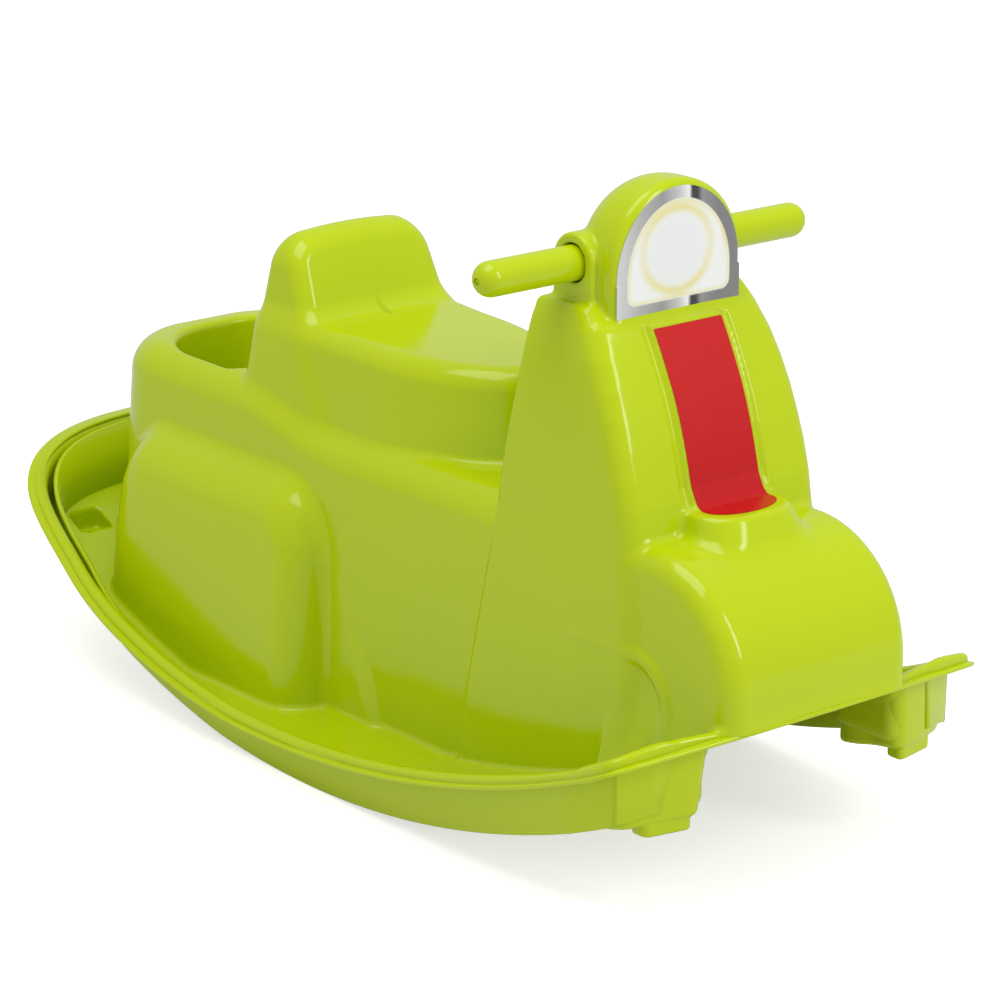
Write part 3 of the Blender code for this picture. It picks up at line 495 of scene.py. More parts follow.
def upper_form(x, y, z, s):
    """Signed distance to the moulding's outer skin. s is the distance inside the rim's edge."""
    x = np.abs(x)
    body = fillet_min(rear_form(x, y, z), seat_form(x, y, z), SEAT_FILLET)
    form = fillet_min(tray_form(x, y, z, s), body, BODY_FILLET)
    form = fillet_min(form, shield_form(x, y, z), SHIELD_FILLET)
    form = fillet_min(form, mudguard_form(x, y, z), GUARD_FILLET)
    form = fillet_min(form, head_form(x, y, z), HEAD_FILLET)
    form = round_max(form, -bore_form(x, y, z), BORE_EDGE)
    form = round_max(form, -well_form(x, y, z), WELL_MOUTH_EDGE)
    form = round_max(form, -pocket_form(x, y, z, s), POCKET_MOUTH_EDGE)
    return round_max(form, -rear_stop_form(x, y, z), REAR_STOP_MOUTH_EDGE)


def skin_distance(p):
    """The same at scattered points."""
    return upper_form(p[:, 0], p[:, 1], p[:, 2], rim_inset(p[:, 0], p[:, 1]))


def front_leg_form(x, y, z):
    """Signed distance to the left front leg with its stop."""
    drop = LEG_TOP_Z - z
    inner = LEG_INNER_X + drop * LEG_INNER_DRAFT
    flute = LEG_FLUTE * np.cos(np.clip((y - LEG_FLUTE_Y) / LEG_FLUTE_LENGTH, -1, 1) * 2 * pi)
    outer = LEG_OUTER_X - drop * LEG_OUTER_DRAFT - LEG_OUTER_SPLAY * (y - LEG_OUTER_Y)
    front = LEG_FRONT_Y + LEG_FRONT_SPLAY * (x - LEG_FRONT_X) + drop * LEG_FRONT_DRAFT
    leg = round_max(inner + flute - x, front - y, LEG_CORNER)
    leg = round_max(leg, x - outer, LEG_CORNER)
    cut = (x - LEG_CUT_X) * LEG_CUT_WAY[0] - (y - LEG_CUT_Y) * LEG_CUT_WAY[1]
    leg = round_max(leg, cut, LEG_CUT_CORNER)
    leg = round_max(leg, y - LEG_REAR_Y + (z - LEG_REAR_Z) * LEG_REAR_DRAFT, LEG_REAR_CORNER)
    low = LEG_LOW_Z - LEG_LOW_SLOPE * np.clip(y - LEG_LOW_Y, 0, LEG_LOW_LENGTH)
    leg = round_max(leg, low - z, LEG_FOOT_EDGE)
    leg = np.maximum(leg, z - rim_z(y) - LEG_OVER_RIM)
    ends = np.abs(y - STOP_Y - LEG_FRONT_SPLAY * (x - STOP_X)) - STOP_DEPTH
    stop = round_max(np.abs(x - STOP_X) - STOP_HALF, ends, STOP_CORNER)
    stop = round_max(stop, STOP_LOW_Z - z, STOP_FOOT_EDGE)
    stop = np.maximum(stop, z - STOP_TOP_Z)
    return fillet_min(leg, stop, STOP_FILLET)


def leg_distance(p):
    """The same at scattered points."""
    return front_leg_form(p[:, 0], p[:, 1], p[:, 2])


def gradient(form, p):
    slopes = []
    for axis in range(3):
        shift = np.zeros(3)
        shift[axis] = SLOPE_STEP
        slopes.append((form(p + shift) - form(p - shift)) / (2 * SLOPE_STEP))
    return np.stack(slopes, -1)


def onto_surface(form, p, times=3):
    for _ in range(times):
        slope = gradient(form, p)
        reach = form(p) / np.maximum(np.einsum("ij,ij->i", slope, slope), LEAST_SLOPE)
        p = p - np.clip(reach, -LONGEST_MOVE, LONGEST_MOVE)[:, None] * slope
    return p


def neighbours(axis, rest):
    """Index of the lower and of the upper value along an axis. rest is the slice of the other two axes."""
    low, high = [rest] * 3, [rest] * 3
    low[axis], high[axis] = slice(0, -1), slice(1, None)
    return tuple(low), tuple(high)


def net_points(values):
    """One point in each cell where the values change sign, and the number of the point of each cell."""
    inside = values < 0
    shape = np.array(values.shape) - 1
    total = np.zeros((*shape, 3), np.float32)
    count = np.zeros(shape, np.float32)
    for axis in range(3):
        low, high = neighbours(axis, slice(None))
        a, b = values[low], values[high]
        crossed = inside[low] != inside[high]
        where = np.where(crossed, a / np.where(crossed, a - b, 1), 0)
        others = [k for k in range(3) if k != axis]
        for i, j in ((0, 0), (0, 1), (1, 0), (1, 1)):
            pick = [slice(None)] * 3
            pick[others[0]] = slice(i, i + shape[others[0]])
            pick[others[1]] = slice(j, j + shape[others[1]])
            hit = crossed[tuple(pick)]
            count += hit
            total[..., axis] += np.where(hit, where[tuple(pick)], 0)
            total[..., others[0]] += hit * i
            total[..., others[1]] += hit * j
    used = count > 0
    number = np.full(shape, -1, np.int64)
    number[used] = np.arange(used.sum())
    corner = np.stack(np.nonzero(used), -1)
    return corner + total[used] / count[used][:, None], number


def surface_net(values, origin, step):
    """Quads through the cells where the values change sign."""
    points, number = net_points(values)
    inside = values < 0
    quads = []
    for axis in range(3):
        others = [k for k in range(3) if k != axis]
        low, high = neighbours(axis, slice(1, -1))
        before, after = inside[low], inside[high]
        for out in (True, False):
            at = np.stack(np.nonzero(before & ~after if out else ~before & after), -1)
            at[:, others[0]] += 1
            at[:, others[1]] += 1
            ring = []
            for i, j in ((-1, -1), (0, -1), (0, 0), (-1, 0)):
                cell = at.copy()
                cell[:, others[0]] += i
                cell[:, others[1]] += j
                ring.append(number[cell[:, 0], cell[:, 1], cell[:, 2]])
            ring = np.stack(ring, -1)
            quads.append(ring if out == (axis != 1) else ring[:, ::-1])
    return points * step + origin, np.vstack(quads)


def form_net(form, low, step, counts):
    """The zero surface of a form, drawn on a grid. form takes the x, y and z of the grid."""
    low = np.array(low)
    x, y, z = (low[k] + step * np.arange(counts[k]) for k in range(3))
    values = form(x[:, None, None], y[None, :, None], z[None, None, :]).astype(np.float32)
    return surface_net(values, low, step)


def mesh_from(name, points, faces):
    """Mesh of millimetre points and an array of faces that all have the same number of corners."""
    mesh = bpy.data.meshes.new(name)
    mesh.vertices.add(len(points))
    mesh.vertices.foreach_set("co", (np.asarray(points) * MM).astype(np.float32).ravel())
    corners = faces.shape[1]
    mesh.loops.add(faces.size)
    mesh.loops.foreach_set("vertex_index", faces.ravel().astype(np.int32))
    mesh.polygons.add(len(faces))
    mesh.polygons.foreach_set("loop_start", (np.arange(len(faces)) * corners).astype(np.int32))
    mesh.polygons.foreach_set("loop_total", np.full(len(faces), corners, np.int32))
    mesh.update(calc_edges=True)
    mesh.validate()
    mesh.shade_smooth()
    return mesh


def linked(name, data):
    """New object in the scene."""
    made = bpy.data.objects.new(name, data)
    bpy.context.scene.collection.objects.link(made)
    return made


def evaluated_mesh(guide):
    """The mesh that an object's modifiers give. The object is removed."""
    graph = bpy.context.evaluated_depsgraph_get()
    mesh = bpy.data.meshes.new_from_object(guide.evaluated_get(graph))
    bpy.data.objects.remove(guide)
    return mesh


def sharpen(mesh):
    """Smooth shading, with sharper edges kept crisp."""
    mesh.shade_smooth()
    mesh.set_sharp_from_angle(angle=radians(CRISP_DEGREES))


def face_outwards(mesh, merge=0.0):
    """All faces turned outwards, after points closer than merge are joined."""
    shape = bmesh.new()
    shape.from_mesh(mesh)
    if merge:
        bmesh.ops.remove_doubles(shape, verts=shape.verts, dist=merge)
    bmesh.ops.recalc_face_normals(shape, faces=shape.faces)
    shape.to_mesh(mesh)
    shape.free()


def piece(name, mesh, body, material, replaced=()):
    made = linked(name, mesh)
    made.data.materials.clear()
    made.data.materials.append(material)
    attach(made, body)
    if replaced:
        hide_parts(*replaced)


def thinned(points, faces, share):
    """Fewer, larger triangles where the skin is flat."""
    holder = linked("thinning", mesh_from("thinning", points, faces))
    fewer = holder.modifiers.new("Fewer", "DECIMATE")
    fewer.ratio = share
    fewer.use_collapse_triangulate = True
    mesh = evaluated_mesh(holder)
    out = np.empty(len(mesh.vertices) * 3, np.float32)
    mesh.vertices.foreach_get("co", out)
    triangles = np.empty(len(mesh.polygons) * 3, np.int32)
    mesh.polygons.foreach_get("vertices", triangles)
    bpy.data.meshes.remove(mesh)
    return out.reshape(-1, 3).astype(float) / MM, triangles.reshape(-1, 3)


def boundary_edges(faces):
    """Directed edges that only one face has."""
    corners = faces.shape[1]
    ends = np.concatenate([faces[:, [k, (k + 1) % corners]] for k in range(corners)])
    key = np.sort(ends, axis=1)
    _, index, count = np.unique(key, axis=0, return_inverse=True, return_counts=True)
    return ends[count[index.reshape(-1)] == 1]


def kept(points, faces, keep):
    """Only the faces whose corners are all kept, with the points renumbered."""
    faces = faces[keep[faces].all(1)]
    used = np.unique(faces)
    number = np.full(len(points), -1)
    number[used] = np.arange(len(used))
    return points[used], number[faces]


def skin_grid_form(x, y, z):
    """The skin's form on its grid, where the distance inside the rim is the same at every height."""
    inset = rim_inset(x[:, :, 0], y[:, :, 0])[:, :, None].astype(np.float32)
    return upper_form(x, y, z, inset)


def upper_skin():
    """Left half of the outer skin: tray, body, seat, shield, mudguard and head."""
    points, quads = form_net(skin_grid_form, SKIN_LOW, STEP, SKIN_COUNTS)
    points[points[:, 0] < STEP / 2 - 0.01, 0] = 0
    middle = np.abs(points[:, 0]) < 1e-9
    points = onto_surface(skin_distance, points)
    points[middle, 0] = 0
    inset = rim_inset(points[:, 0], points[:, 1])
    keep = (points[:, 2] > rim_z(points[:, 1]) + SKIN_OVER_RIM) | (inset > FLOOR_INSET)
    in_bore = np.hypot(points[:, 1] - BAR_Y, points[:, 2] - BAR_Z) < BORE_RADIUS + BORE_OVERLAP
    keep &= ~(in_bore & (points[:, 0] < BEARING_X[0] + BEARING_OVERLAP))
    points, quads = kept(points, quads, keep)
    triangles = np.vstack([quads[:, [0, 1, 2]], quads[:, [0, 2, 3]]])
    points, triangles = thinned(points, triangles, SKIN_SHARE)
    middle = np.abs(points[:, 0]) < 0.3
    points = onto_surface(skin_distance, points, 2)
    points[middle, 0] = 0
    return points, triangles, middle


def body_skin(material):
    """Mirror the half skin and give it a wall."""
    points, triangles, middle = upper_skin()
    count = len(points)
    twin = np.arange(count) + count
    twin[middle] = np.arange(count)[middle]
    both = np.vstack([points, points * (-1, 1, 1)])
    faces = np.vstack([triangles, twin[triangles][:, ::-1]])
    both, faces = kept(both, faces, np.ones(len(both), bool))
    normal = gradient(skin_distance, both)
    normal[:, 0][np.abs(both[:, 0]) < 1e-6] = 0
    normal /= np.linalg.norm(normal, axis=1)[:, None]
    inner = both - WALL * normal
    size = len(both)
    edges = boundary_edges(faces)
    strips = np.vstack([
        np.stack([edges[:, 1], edges[:, 0], edges[:, 0] + size], -1),
        np.stack([edges[:, 1], edges[:, 0] + size, edges[:, 1] + size], -1),
    ])
    solid = np.vstack([faces, faces[:, ::-1] + size, strips])
    mesh = mesh_from("body_skin", np.vstack([both, inner]), solid)
    mesh.normals_split_custom_set_from_vertices(np.vstack([normal, -normal]).tolist())
    piece("body_skin", mesh, ROOT, material, replaced=("body_shell",))


def full_rim():
    """The rim's outer edge all round, and the way inwards at each of its points."""
    path = np.vstack([RIM_PATH, (RIM_PATH * (-1, 1))[-2:0:-1]])
    along = np.roll(path, -1, 0) - np.roll(path, 1, 0)
    along /= np.linalg.norm(along, axis=1)[:, None]
    return path, np.stack([-along[:, 1], along[:, 0]], -1)


def carried_profile(name, sizes, material):
    """Node tree that carries a rounded bar along an edge loop, inside it and on top of it."""
    tree = bpy.data.node_groups.new(name, "GeometryNodeTree")
    add = tree.nodes.new
    face = tree.interface
    face.new_socket("Geometry", in_out="INPUT", socket_type="NodeSocketGeometry")
    inputs = {}
    for label, value in sizes.items():
        inputs[face.new_socket(label, in_out="INPUT", socket_type="NodeSocketFloat").identifier] = value
    face.new_socket("Geometry", in_out="OUTPUT", socket_type="NodeSocketGeometry")
    given, result = add("NodeGroupInput"), add("NodeGroupOutput")
    curve = add("GeometryNodeMeshToCurve")
    upright = add("GeometryNodeSetCurveNormal")
    upright.mode = "Z_UP"
    bar = add("GeometryNodeCurvePrimitiveQuadrilateral")
    fillet = add("GeometryNodeFilletCurve")
    fillet.mode = "POLY"
    fillet.inputs["Count"].default_value = 4
    place = add("ShaderNodeCombineXYZ")
    for label, axis in (("Lip width", "X"), ("Lip height", "Y")):
        half = add("ShaderNodeMath")
        half.operation = "MULTIPLY"
        half.inputs[1].default_value = -0.5
        tree.links.new(given.outputs[label], half.inputs[0])
        tree.links.new(half.outputs["Value"], place.inputs[axis])
    shift = add("GeometryNodeTransform")
    carry = add("GeometryNodeCurveToMesh")
    whole = add("GeometryNodeRealizeInstances")
    finish = add("GeometryNodeSetMaterial")
    finish.inputs["Material"].default_value = material
    for source, output, target, socket in (
        (given, "Geometry", curve, "Mesh"),
        (curve, "Curve", upright, "Curve"),
        (given, "Lip width", bar, "Width"),
        (given, "Lip height", bar, "Height"),
        (bar, "Curve", fillet, "Curve"),
        (given, "Edge radius", fillet, "Radius"),
        (fillet, "Curve", shift, "Geometry"),
        (place, "Vector", shift, "Translation"),
        (upright, "Curve", carry, "Curve"),
        (shift, "Geometry", carry, "Profile Curve"),
        (carry, "Mesh", whole, "Geometry"),
        (whole, "Geometry", finish, "Geometry"),
        (finish, "Geometry", result, "Geometry"),
    ):
        tree.links.new(source.outputs[output], target.inputs[socket])
    return tree, inputs


def rim_lip(material):
    """Thin lip all round, which stands out beyond the bead."""
    path, _ = full_rim()
    loop = bpy.data.meshes.new("rim_loop")
    points = [(x * MM, y * MM, float(rim_z(y)) * MM) for x, y in path]
    loop.from_pydata(points, [(i, (i + 1) % len(points)) for i in range(len(points))], [])
    guide = linked("rim_loop", loop)
    sizes = {"Lip width": LIP_WIDTH * MM, "Lip height": LIP_HEIGHT * MM, "Edge radius": LIP_RADIUS * MM}
    tree, inputs = carried_profile("rim_lip", sizes, material)
    grown = guide.modifiers.new("Rim lip", "NODES")
    grown.node_group = tree
    for key, value in inputs.items():
        grown[key] = value
    mesh = evaluated_mesh(guide)
    face_outwards(mesh)
    sharpen(mesh)
    piece("rim_lip", mesh, ROOT, material)


def skirt_inset(here):
    """How far inside the rim's edge the skirt's outer face is."""
    share = min(max((here[1] - SKIRT_REAR_Y) / SKIRT_REAR_LENGTH, 0), 1)
    corner = np.hypot(abs(here[0]) - SKIRT_CORNER_X, here[1] - SKIRT_CORNER_Y)
    near = max(0.0, 1 - corner / SKIRT_CORNER_REACH)
    return SKIRT_INSET + SKIRT_REAR_INSET * share + SKIRT_CORNER_INSET * near


def skirt_section(here, way):
    """Section of the skirt at a point of the rim, as (inset, height) pairs."""
    inset = skirt_inset(here)
    top = float(rim_z(here[1])) + SKIRT_RISE
    foot = min(float(rocker_z(here[1] + way[1] * inset)), top - SKIRT_LEAST)
    if here[1] < GAP_Y and abs(here[0]) < GAP_HALF:
        foot = top - GAP_SKIRT
    edge = [(d, foot + rise) for d, rise in SKIRT_FOOT]
    profile = [(-0.3, top), (0.0, top - 3)] + edge + [(SKIRT_FOOT[-1][0], top)]
    return [(inset + d, h) for d, h in profile]


def rocker_rails(material):
    """Skirt under the rim, whose lower edge is the rocker."""
    rings = []
    for here, way in zip(*full_rim()):
        rings.append([(here[0] + way[0] * d, here[1] + way[1] * d, h) for d, h in skirt_section(here, way)])
    rings = np.array(rings)
    stations, count = rings.shape[:2]
    i = np.arange(stations)[:, None]
    j = np.arange(count)[None, :]
    ni = (i + 1) % stations * count
    nj = (j + 1) % count
    quads = np.stack(np.broadcast_arrays(i * count + j, i * count + nj, ni + nj, ni + j), -1)
    mesh = mesh_from("rocker_rails", rings.reshape(-1, 3), quads.reshape(-1, 4))
    piece("rocker_rails", mesh, ROOT, material)


def front_legs(material):
    """The leg and stop under each front pocket."""
    points, quads = form_net(front_leg_form, LEG_LOW, LEG_STEP, LEG_COUNTS)
    points = onto_surface(leg_distance, points)
    normal = gradient(leg_distance, points)
    normal /= np.maximum(np.linalg.norm(normal, axis=1)[:, None], 1e-6)
    both = np.vstack([points, points * (-1, 1, 1)])
    faces = np.vstack([quads, quads[:, ::-1] + len(points)])
    mesh = mesh_from("front_legs", both, faces)
    mesh.normals_split_custom_set_from_vertices(np.vstack([normal, normal * (-1, 1, 1)]).tolist())
    piece("front_legs", mesh, ROOT, material)


def turned(name, profile, side, body, material, replaced=()):
    """A turned piece on the handlebar's axis. profile is (x, radius) from one end to the other."""
    rows = np.array(profile, float)
    segments = TURNED_SEGMENTS
    turn = np.linspace(0, 2 * pi, segments, endpoint=False)
    points = np.stack([
        np.repeat(side * rows[:, 0], segments),
        BAR_Y + np.outer(rows[:, 1], np.cos(turn)).ravel(),
        BAR_Z + np.outer(rows[:, 1], np.sin(turn)).ravel(),
    ], -1)
    low = np.arange(len(rows) - 1)[:, None] * segments
    j = np.arange(segments)[None, :]
    nj = (j + 1) % segments
    high = low + segments
    quads = np.stack(np.broadcast_arrays(low + j, high + j, high + nj, low + nj), -1).reshape(-1, 4)
    if side < 0:
        quads = quads[:, ::-1]
    mesh = mesh_from(name, points, quads)
    face_outwards(mesh, merge=1e-6)
    sharpen(mesh)
    piece(name, mesh, body, material, replaced=replaced)


def grips(material):
    """Two half bars with domed ends, and the ring in the head that each turns in."""
    dome_x = GRIP_END_X - GRIP_RADIUS
    start = BEARING_X[1] + GRIP_START_GAP
    bar = [(STUB_START_X, 0.0), (STUB_START_X, STUB_RADIUS), (start, STUB_RADIUS)]
    bar += [(start, GRIP_RADIUS - GRIP_CHAMFER), (start + GRIP_CHAMFER, GRIP_RADIUS)]
    for degrees in range(0, DOME_DEGREES + 1, DOME_STEP):
        bar.append((dome_x + GRIP_RADIUS * sin(radians(degrees)), GRIP_RADIUS * cos(radians(degrees))))
    tip = bar[-1][0]
    bar += [(tip + beyond, radius) for beyond, radius in GATE_MARK]
    inner, outer = STUB_RADIUS + BEARING_GAP, BORE_RADIUS - BEARING_LAP
    near, far = BEARING_X
    ring = [(near, inner), (near, outer), (far, outer), (far, inner), (near, inner)]
    for side, name in ((1, "left"), (-1, "right")):
        turned(f"grip_{name}_skin", bar, side, BAR_BODY, material, replaced=(f"grip_{name}",))
        turned(f"bearing_{name}", ring, side, ROOT, material)


def new_material(name):
    made = bpy.data.materials.new(name)
    made.use_nodes = True
    return made, made.node_tree


def noise(tree, place, scale, detail):
    made = tree.nodes.new("ShaderNodeTexNoise")
    made.inputs["Scale"].default_value = scale
    made.inputs["Detail"].default_value = detail
    tree.links.new(place.outputs["Object"], made.inputs["Vector"])
    return made.outputs["Fac"]


def ranged(tree, share, low, high):
    """A share from 0 to 1 as a value from low to high."""
    made = tree.nodes.new("ShaderNodeMapRange")
    made.inputs["To Min"].default_value = low
    made.inputs["To Max"].default_value = high
    tree.links.new(share, made.inputs["Value"])
    return made.outputs["Result"]


def mixed(tree, share, a, b):
    """Two colours by a share. Each colour is a link or three numbers."""
    made = tree.nodes.new("ShaderNodeMix")
    made.data_type = "RGBA"
    tree.links.new(share, made.inputs["Factor"])
    for name, colour in (("A", a), ("B", b)):
        if isinstance(colour, tuple):
            made.inputs[name].default_value = (*colour, 1)
        else:
            tree.links.new(colour, made.inputs[name])
    return made.outputs["Result"]


def plastic(name, colour, roughness, shine, metal):
    """Glossy moulded plastic: faint colour drift, slightly uneven gloss and a very shallow ripple."""
    made, tree = new_material(name)
    shader = tree.nodes["Principled BSDF"]
    shader.inputs["Specular IOR Level"].default_value = shine
    shader.inputs["Metallic"].default_value = metal
    place = tree.nodes.new("ShaderNodeTexCoord")
    drift = noise(tree, place, scale=6.0, detail=2.0)
    darker, lighter = tuple(c * 0.97 for c in colour), tuple(min(c * 1.03, 1) for c in colour)
    tree.links.new(mixed(tree, drift, darker, lighter), shader.inputs["Base Color"])
    tree.links.new(ranged(tree, drift, roughness * 0.85, roughness * 1.15), shader.inputs["Roughness"])
    bump = tree.nodes.new("ShaderNodeBump")
    bump.inputs["Strength"].default_value = 0.05
    bump.inputs["Distance"].default_value = 0.004
    tree.links.new(noise(tree, place, scale=45.0, detail=3.0), bump.inputs["Height"])
    tree.links.new(bump.outputs["Normal"], shader.inputs["Normal"])
    return made


def printed(name, roughness, wear, shine):
    """Glossy printed film: the pattern is in the piece's colour attribute, under a faint paper grain."""
    made, tree = new_material(name)
    shader = tree.nodes["Principled BSDF"]
    shader.inputs["Specular IOR Level"].default_value = shine
    ink = tree.nodes.new("ShaderNodeAttribute")
    ink.attribute_name = "ink"
    grain = noise(tree, tree.nodes.new("ShaderNodeTexCoord"), scale=320.0, detail=3.0)
    worn = mixed(tree, ranged(tree, grain, 0.0, wear), ink.outputs["Color"], (0.9, 0.9, 0.9))
    tree.links.new(worn, shader.inputs["Base Color"])
    tree.links.new(ranged(tree, grain, roughness * 0.8, roughness * 1.2), shader.inputs["Roughness"])
    return made


def sheet(name, grid, ink, finish, look, replaced, flat_below=0.0):
    """Thin film laid on the skin, in a plane of its own below one height.

    grid is rows of points near the skin, and ink a colour for each.
    """
    rows, count = grid.shape[:2]
    grid = grid.reshape(-1, 3)
    laid = onto_surface(skin_distance, grid, 4)
    normal = gradient(skin_distance, laid)
    normal /= np.linalg.norm(normal, axis=1)[:, None]
    level = grid[:, 2] < flat_below
    laid[level] = grid[level]
    normal[level] = (0, -1, 0)
    outer, inner = laid + FILM_OUT * normal, laid + FILM_IN * normal
    a = (np.arange(rows - 1)[:, None] * count + np.arange(count - 1)[None, :]).ravel()
    front = np.stack([a, a + 1, a + count + 1, a + count], -1)
    across, down = outer[front[:, 1]] - outer[front[:, 0]], outer[front[:, 3]] - outer[front[:, 0]]
    if (np.cross(across, down) * normal[front[:, 0]]).sum() < 0:
        front = front[:, ::-1]
    rim = boundary_edges(front)
    size = rows * count
    sides = np.stack([rim[:, 1], rim[:, 0], rim[:, 0] + size, rim[:, 1] + size], -1)
    mesh = mesh_from(name, np.vstack([outer, inner]), np.vstack([front, front[:, ::-1] + size, sides]))
    colours = np.ones((2 * size, 4), np.float32)
    colours[:, :3] = np.tile(ink.reshape(-1, 3), (2, 1))
    layer = mesh.color_attributes.new("ink", "FLOAT_COLOR", "POINT")
    layer.data.foreach_set("color", colours.ravel())
    sharpen(mesh)
    piece(name, mesh, ROOT, printed(finish, *look), replaced=(replaced,))


def step_at(value, edge, soft=0.35):
    return np.clip((value - edge) / (2 * soft) + 0.5, 0, 1)


def line_at(distance, at, width):
    return np.exp(-((distance - at) / width) ** 2)


def outside_lens(x, z):
    """Signed distance to the lens: straight sides, an elliptic crown and two round lower corners."""
    over = np.hypot(x / LENS_HALF, np.maximum(z - LENS_CROWN_Z, 0) / LENS_RISE) - 1
    sides = np.where(z > LENS_CROWN_Z, over * LENS_HALF, np.abs(x) - LENS_HALF)
    outside = np.maximum(sides, LENS_LOW_Z - z)
    beside = np.maximum(np.abs(x) - LENS_HALF + LENS_CORNER, 0)
    corner = np.hypot(beside, np.maximum(LENS_LOW_Z + LENS_CORNER - z, 0)) - LENS_CORNER
    return np.maximum(outside, np.where(z < LENS_LOW_Z + LENS_CORNER, corner, DEEP_INSIDE))


def lamp_ink(x, z):
    """Printed headlight: a bright metal-like border, and a pale lens with a warm ring."""
    border = np.interp(x, *zip(*BORDER_TONES))[..., None] * np.ones(3)
    white, warm, cool = np.array(LENS_WHITE), np.array(LENS_WARM), np.array(LENS_COOL)
    outside = outside_lens(x, z)
    r = np.hypot((x - RING_X) / RING_STRETCH, z - RING_Z)
    lens = white + (cool - white) * (HUB_STRENGTH * (1 - step_at(r, HUB_RADIUS, HUB_SOFT)))[..., None]
    swing = RING_STRENGTH - RING_SWING * np.cos((z - RING_Z) / RING_SWING_LENGTH)
    ring = line_at(r, RING_RADIUS, RING_WIDTH) * swing
    gain = ARC_LOW + ARC_GAIN * np.clip((z - ARC_GAIN_Z) / ARC_GAIN_LENGTH, 0, 1)
    arc = line_at(r, ARC_RADIUS, ARC_LINE) * gain * step_at(z, ARC_Z, ARC_SOFT)
    edge = line_at(outside, LENS_EDGE_IN, LENS_EDGE_WIDTH) * LENS_EDGE_STRENGTH
    lens = lens + (warm - lens) * np.clip(ring + arc + edge, 0, 1)[..., None]
    return border + (lens - border) * (1 - step_at(outside, 0.0))[..., None]


def lamp_film():
    """Film on the head's flat front, straight below its crown and round above."""
    straight, round_part = LAMP_ROWS
    turn = np.concatenate([np.linspace(-1, 0, straight)[:-1], np.linspace(0, pi / 2 - 0.02, round_part)])
    below = turn < 0
    rise = np.where(below, turn * (LAMP_CROWN_Z - LAMP_LOW_Z), LAMP_RISE * np.sin(turn))
    half = np.where(below, LAMP_HALF, LAMP_HALF * np.cos(np.maximum(turn, 0)))
    x = half[:, None] * np.linspace(-1, 1, LAMP_COLUMNS)[None, :]
    z = np.broadcast_to((LAMP_CROWN_Z + rise)[:, None], x.shape)
    grid = np.stack([x, np.full(x.shape, HEAD_FRONT_Y), z], -1)
    ink = lamp_ink(x, z)
    sheet("headlight_film", grid, ink, "headlight_print", LAMP_LOOK, "headlight_label", LAMP_CROWN_Z)


def strip_film():
    """Red strip down the raised panel, over the fold and onto the pad with a round end."""
    line = [(y, z) for z, y in STRIP_LINE[:0:-1]]
    path = np.array([*line, *FOLD_LINE, (TONGUE_Y, TONGUE_Z)])
    length = np.concatenate([[0], np.cumsum(np.hypot(*np.diff(path, axis=0).T))])
    straight = length[-1] - TONGUE_ROUND
    bend = straight + TONGUE_ROUND * np.sin(np.linspace(0, 1, STRIP_ROWS[1]) * END_TURN)
    at = np.concatenate([np.linspace(0, straight, STRIP_ROWS[0])[:-1], bend])
    end = np.clip((at - length[-1] + TONGUE_ROUND) / TONGUE_ROUND, 0, 1)
    half = STRIP_HALF * np.sqrt(np.maximum(1 - end ** 2, LEAST_SHARE))
    x = half[:, None] * np.linspace(-1, 1, STRIP_COLUMNS)[None, :]
    y, z = (np.broadcast_to(np.interp(at, length, path[:, k])[:, None], x.shape) for k in (0, 1))
    # Painted shade: the strip is darker towards its low end and on the tongue, and the shade fades out up
    # the shield
    shade_fade = np.clip((z - RED_SHADE_LOW_Z) / RED_SHADE_RISE, 0, 1)[..., None]
    ink = np.array(RED_SHADED_LOW) * (1 - shade_fade) + np.array(RED_HIGH) * shade_fade
    sheet("red_strip_film", np.stack([x, y, z], -1), ink, "red_print", STRIP_LOOK, "shield_label")


def seen_apart(tree, usual, seen, result):
    """The camera sees one shader, and the light meets the other."""
    rays = tree.nodes.new("ShaderNodeLightPath")
    either = tree.nodes.new("ShaderNodeMixShader")
    tree.links.new(rays.outputs["Is Camera Ray"], either.inputs["Fac"])
    tree.links.new(usual, either.inputs[1])
    tree.links.new(seen, either.inputs[2])
    tree.links.new(either.outputs["Shader"], result.inputs["Surface"])


def surroundings():
    """Soft white light from all sides, and a white background."""
    world = bpy.data.worlds.new("studio")
    bpy.context.scene.world = world
    world.use_nodes = True
    tree = world.node_tree
    usual, seen = tree.nodes["Background"], tree.nodes.new("ShaderNodeBackground")
    for shader, strength in ((usual, WORLD_LIGHT), (seen, 1.0)):
        shader.inputs["Color"].default_value = (1, 1, 1, 1)
        shader.inputs["Strength"].default_value = strength
    seen_apart(tree, usual.outputs["Background"], seen.outputs["Background"], tree.nodes["World Output"])


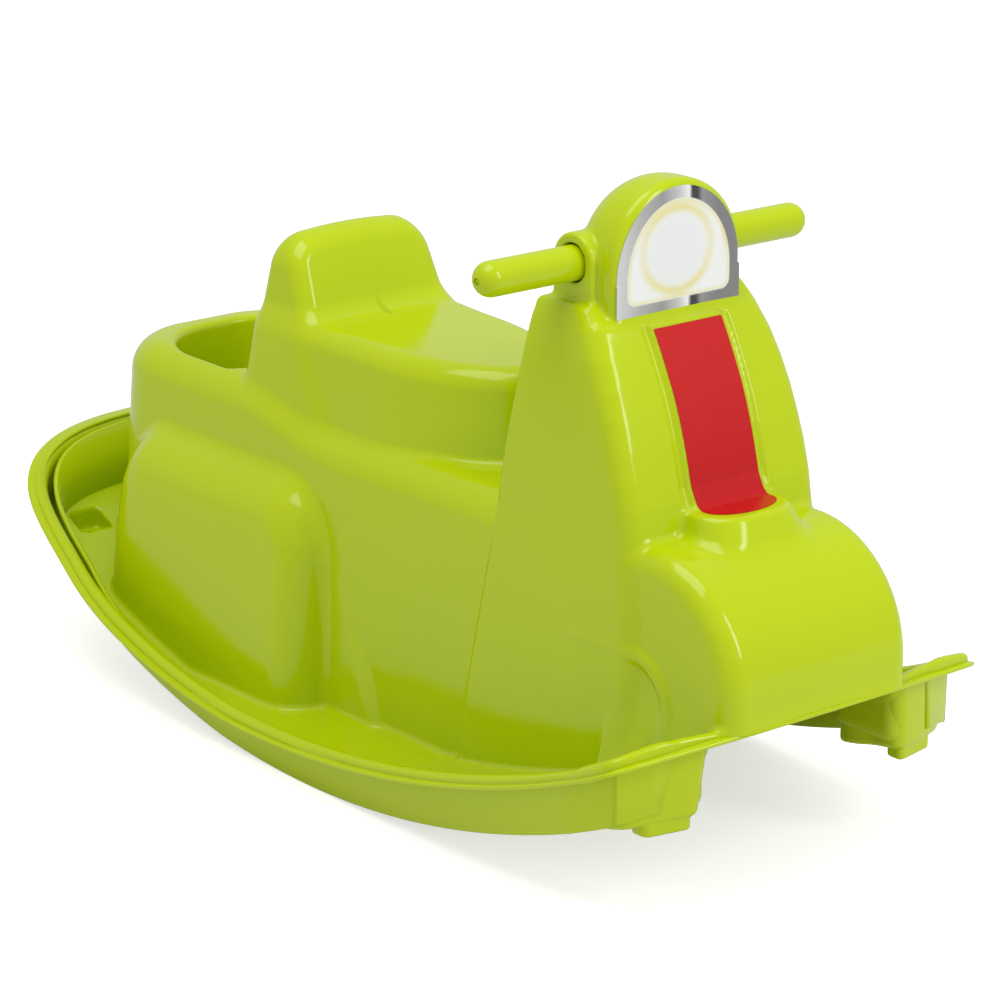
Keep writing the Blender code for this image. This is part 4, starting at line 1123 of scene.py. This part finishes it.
def studio_floor():
    """Pale floor that the camera sees almost white, with the toy's shadow on it."""
    reach = FLOOR_HALF
    corners = [(-reach, -reach, 0), (reach, -reach, 0), (reach, reach, 0), (-reach, reach, 0)]
    floor = linked("floor", mesh_from("floor", corners, np.array([[0, 1, 2, 3]])))
    paper, tree = new_material("floor_paper")
    matt = tree.nodes["Principled BSDF"]
    matt.inputs["Base Color"].default_value = (FLOOR_GREY, FLOOR_GREY, FLOOR_GREY, 1)
    matt.inputs["Roughness"].default_value = 0.9
    glow = tree.nodes.new("ShaderNodeEmission")
    glow.inputs["Strength"].default_value = FLOOR_GLOW
    both = tree.nodes.new("ShaderNodeAddShader")
    tree.links.new(matt.outputs["BSDF"], both.inputs[0])
    tree.links.new(glow.outputs["Emission"], both.inputs[1])
    seen_apart(tree, matt.outputs["BSDF"], both.outputs["Shader"], tree.nodes["Material Output"])
    floor.data.materials.append(paper)


def soft_light(name, place, size, power):
    """Rectangular lamp that looks at the middle of the toy."""
    light = bpy.data.lights.new(name, "AREA")
    light.shape = "RECTANGLE"
    light.size, light.size_y = size[0] * MM, size[1] * MM
    light.energy = power
    made = linked(name, light)
    made.location = Vector(place) * MM
    made.rotation_euler = (Vector(LIGHT_AIM) * MM - made.location).to_track_quat("-Z", "Y").to_euler()


def camera():
    azimuth, elevation = radians(VIEW_AZIMUTH), radians(VIEW_ELEVATION)
    back = Vector((sin(azimuth) * cos(elevation), -cos(azimuth) * cos(elevation), sin(elevation)))
    data = bpy.data.cameras.new("view")
    data.lens = VIEW_LENS
    data.sensor_width = VIEW_SENSOR
    data.clip_end = VIEW_END
    made = linked("view", data)
    made.location = Vector(VIEW_TARGET) + back * VIEW_DISTANCE
    made.rotation_euler = back.to_track_quat("Z", "Y").to_euler()
    bpy.context.scene.camera = made


lime = plastic("lime_plastic", *LIME_LOOK)
black = plastic("sleeve_plastic", *BLACK_LOOK)
steel = plastic("screw_steel", *STEEL_LOOK)
for make in (body_skin, rim_lip, rocker_rails, front_legs, grips):
    make(lime)
lamp_film()
strip_film()
hidden = {"handlebar_sleeve": black, "sleeve_screw_left": steel, "sleeve_screw_right": steel}
for node, finish in hidden.items():
    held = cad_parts[node]
    held.data.materials.clear()
    held.data.materials.append(finish)
bpy.context.scene.view_settings.view_transform = "Standard"
surroundings()
studio_floor()
soft_light("key", place=(700, -2100, 1500), size=(500, 1500), power=17)
soft_light("overhead", place=(-500, -100, 2300), size=(1400, 1400), power=20)
camera()
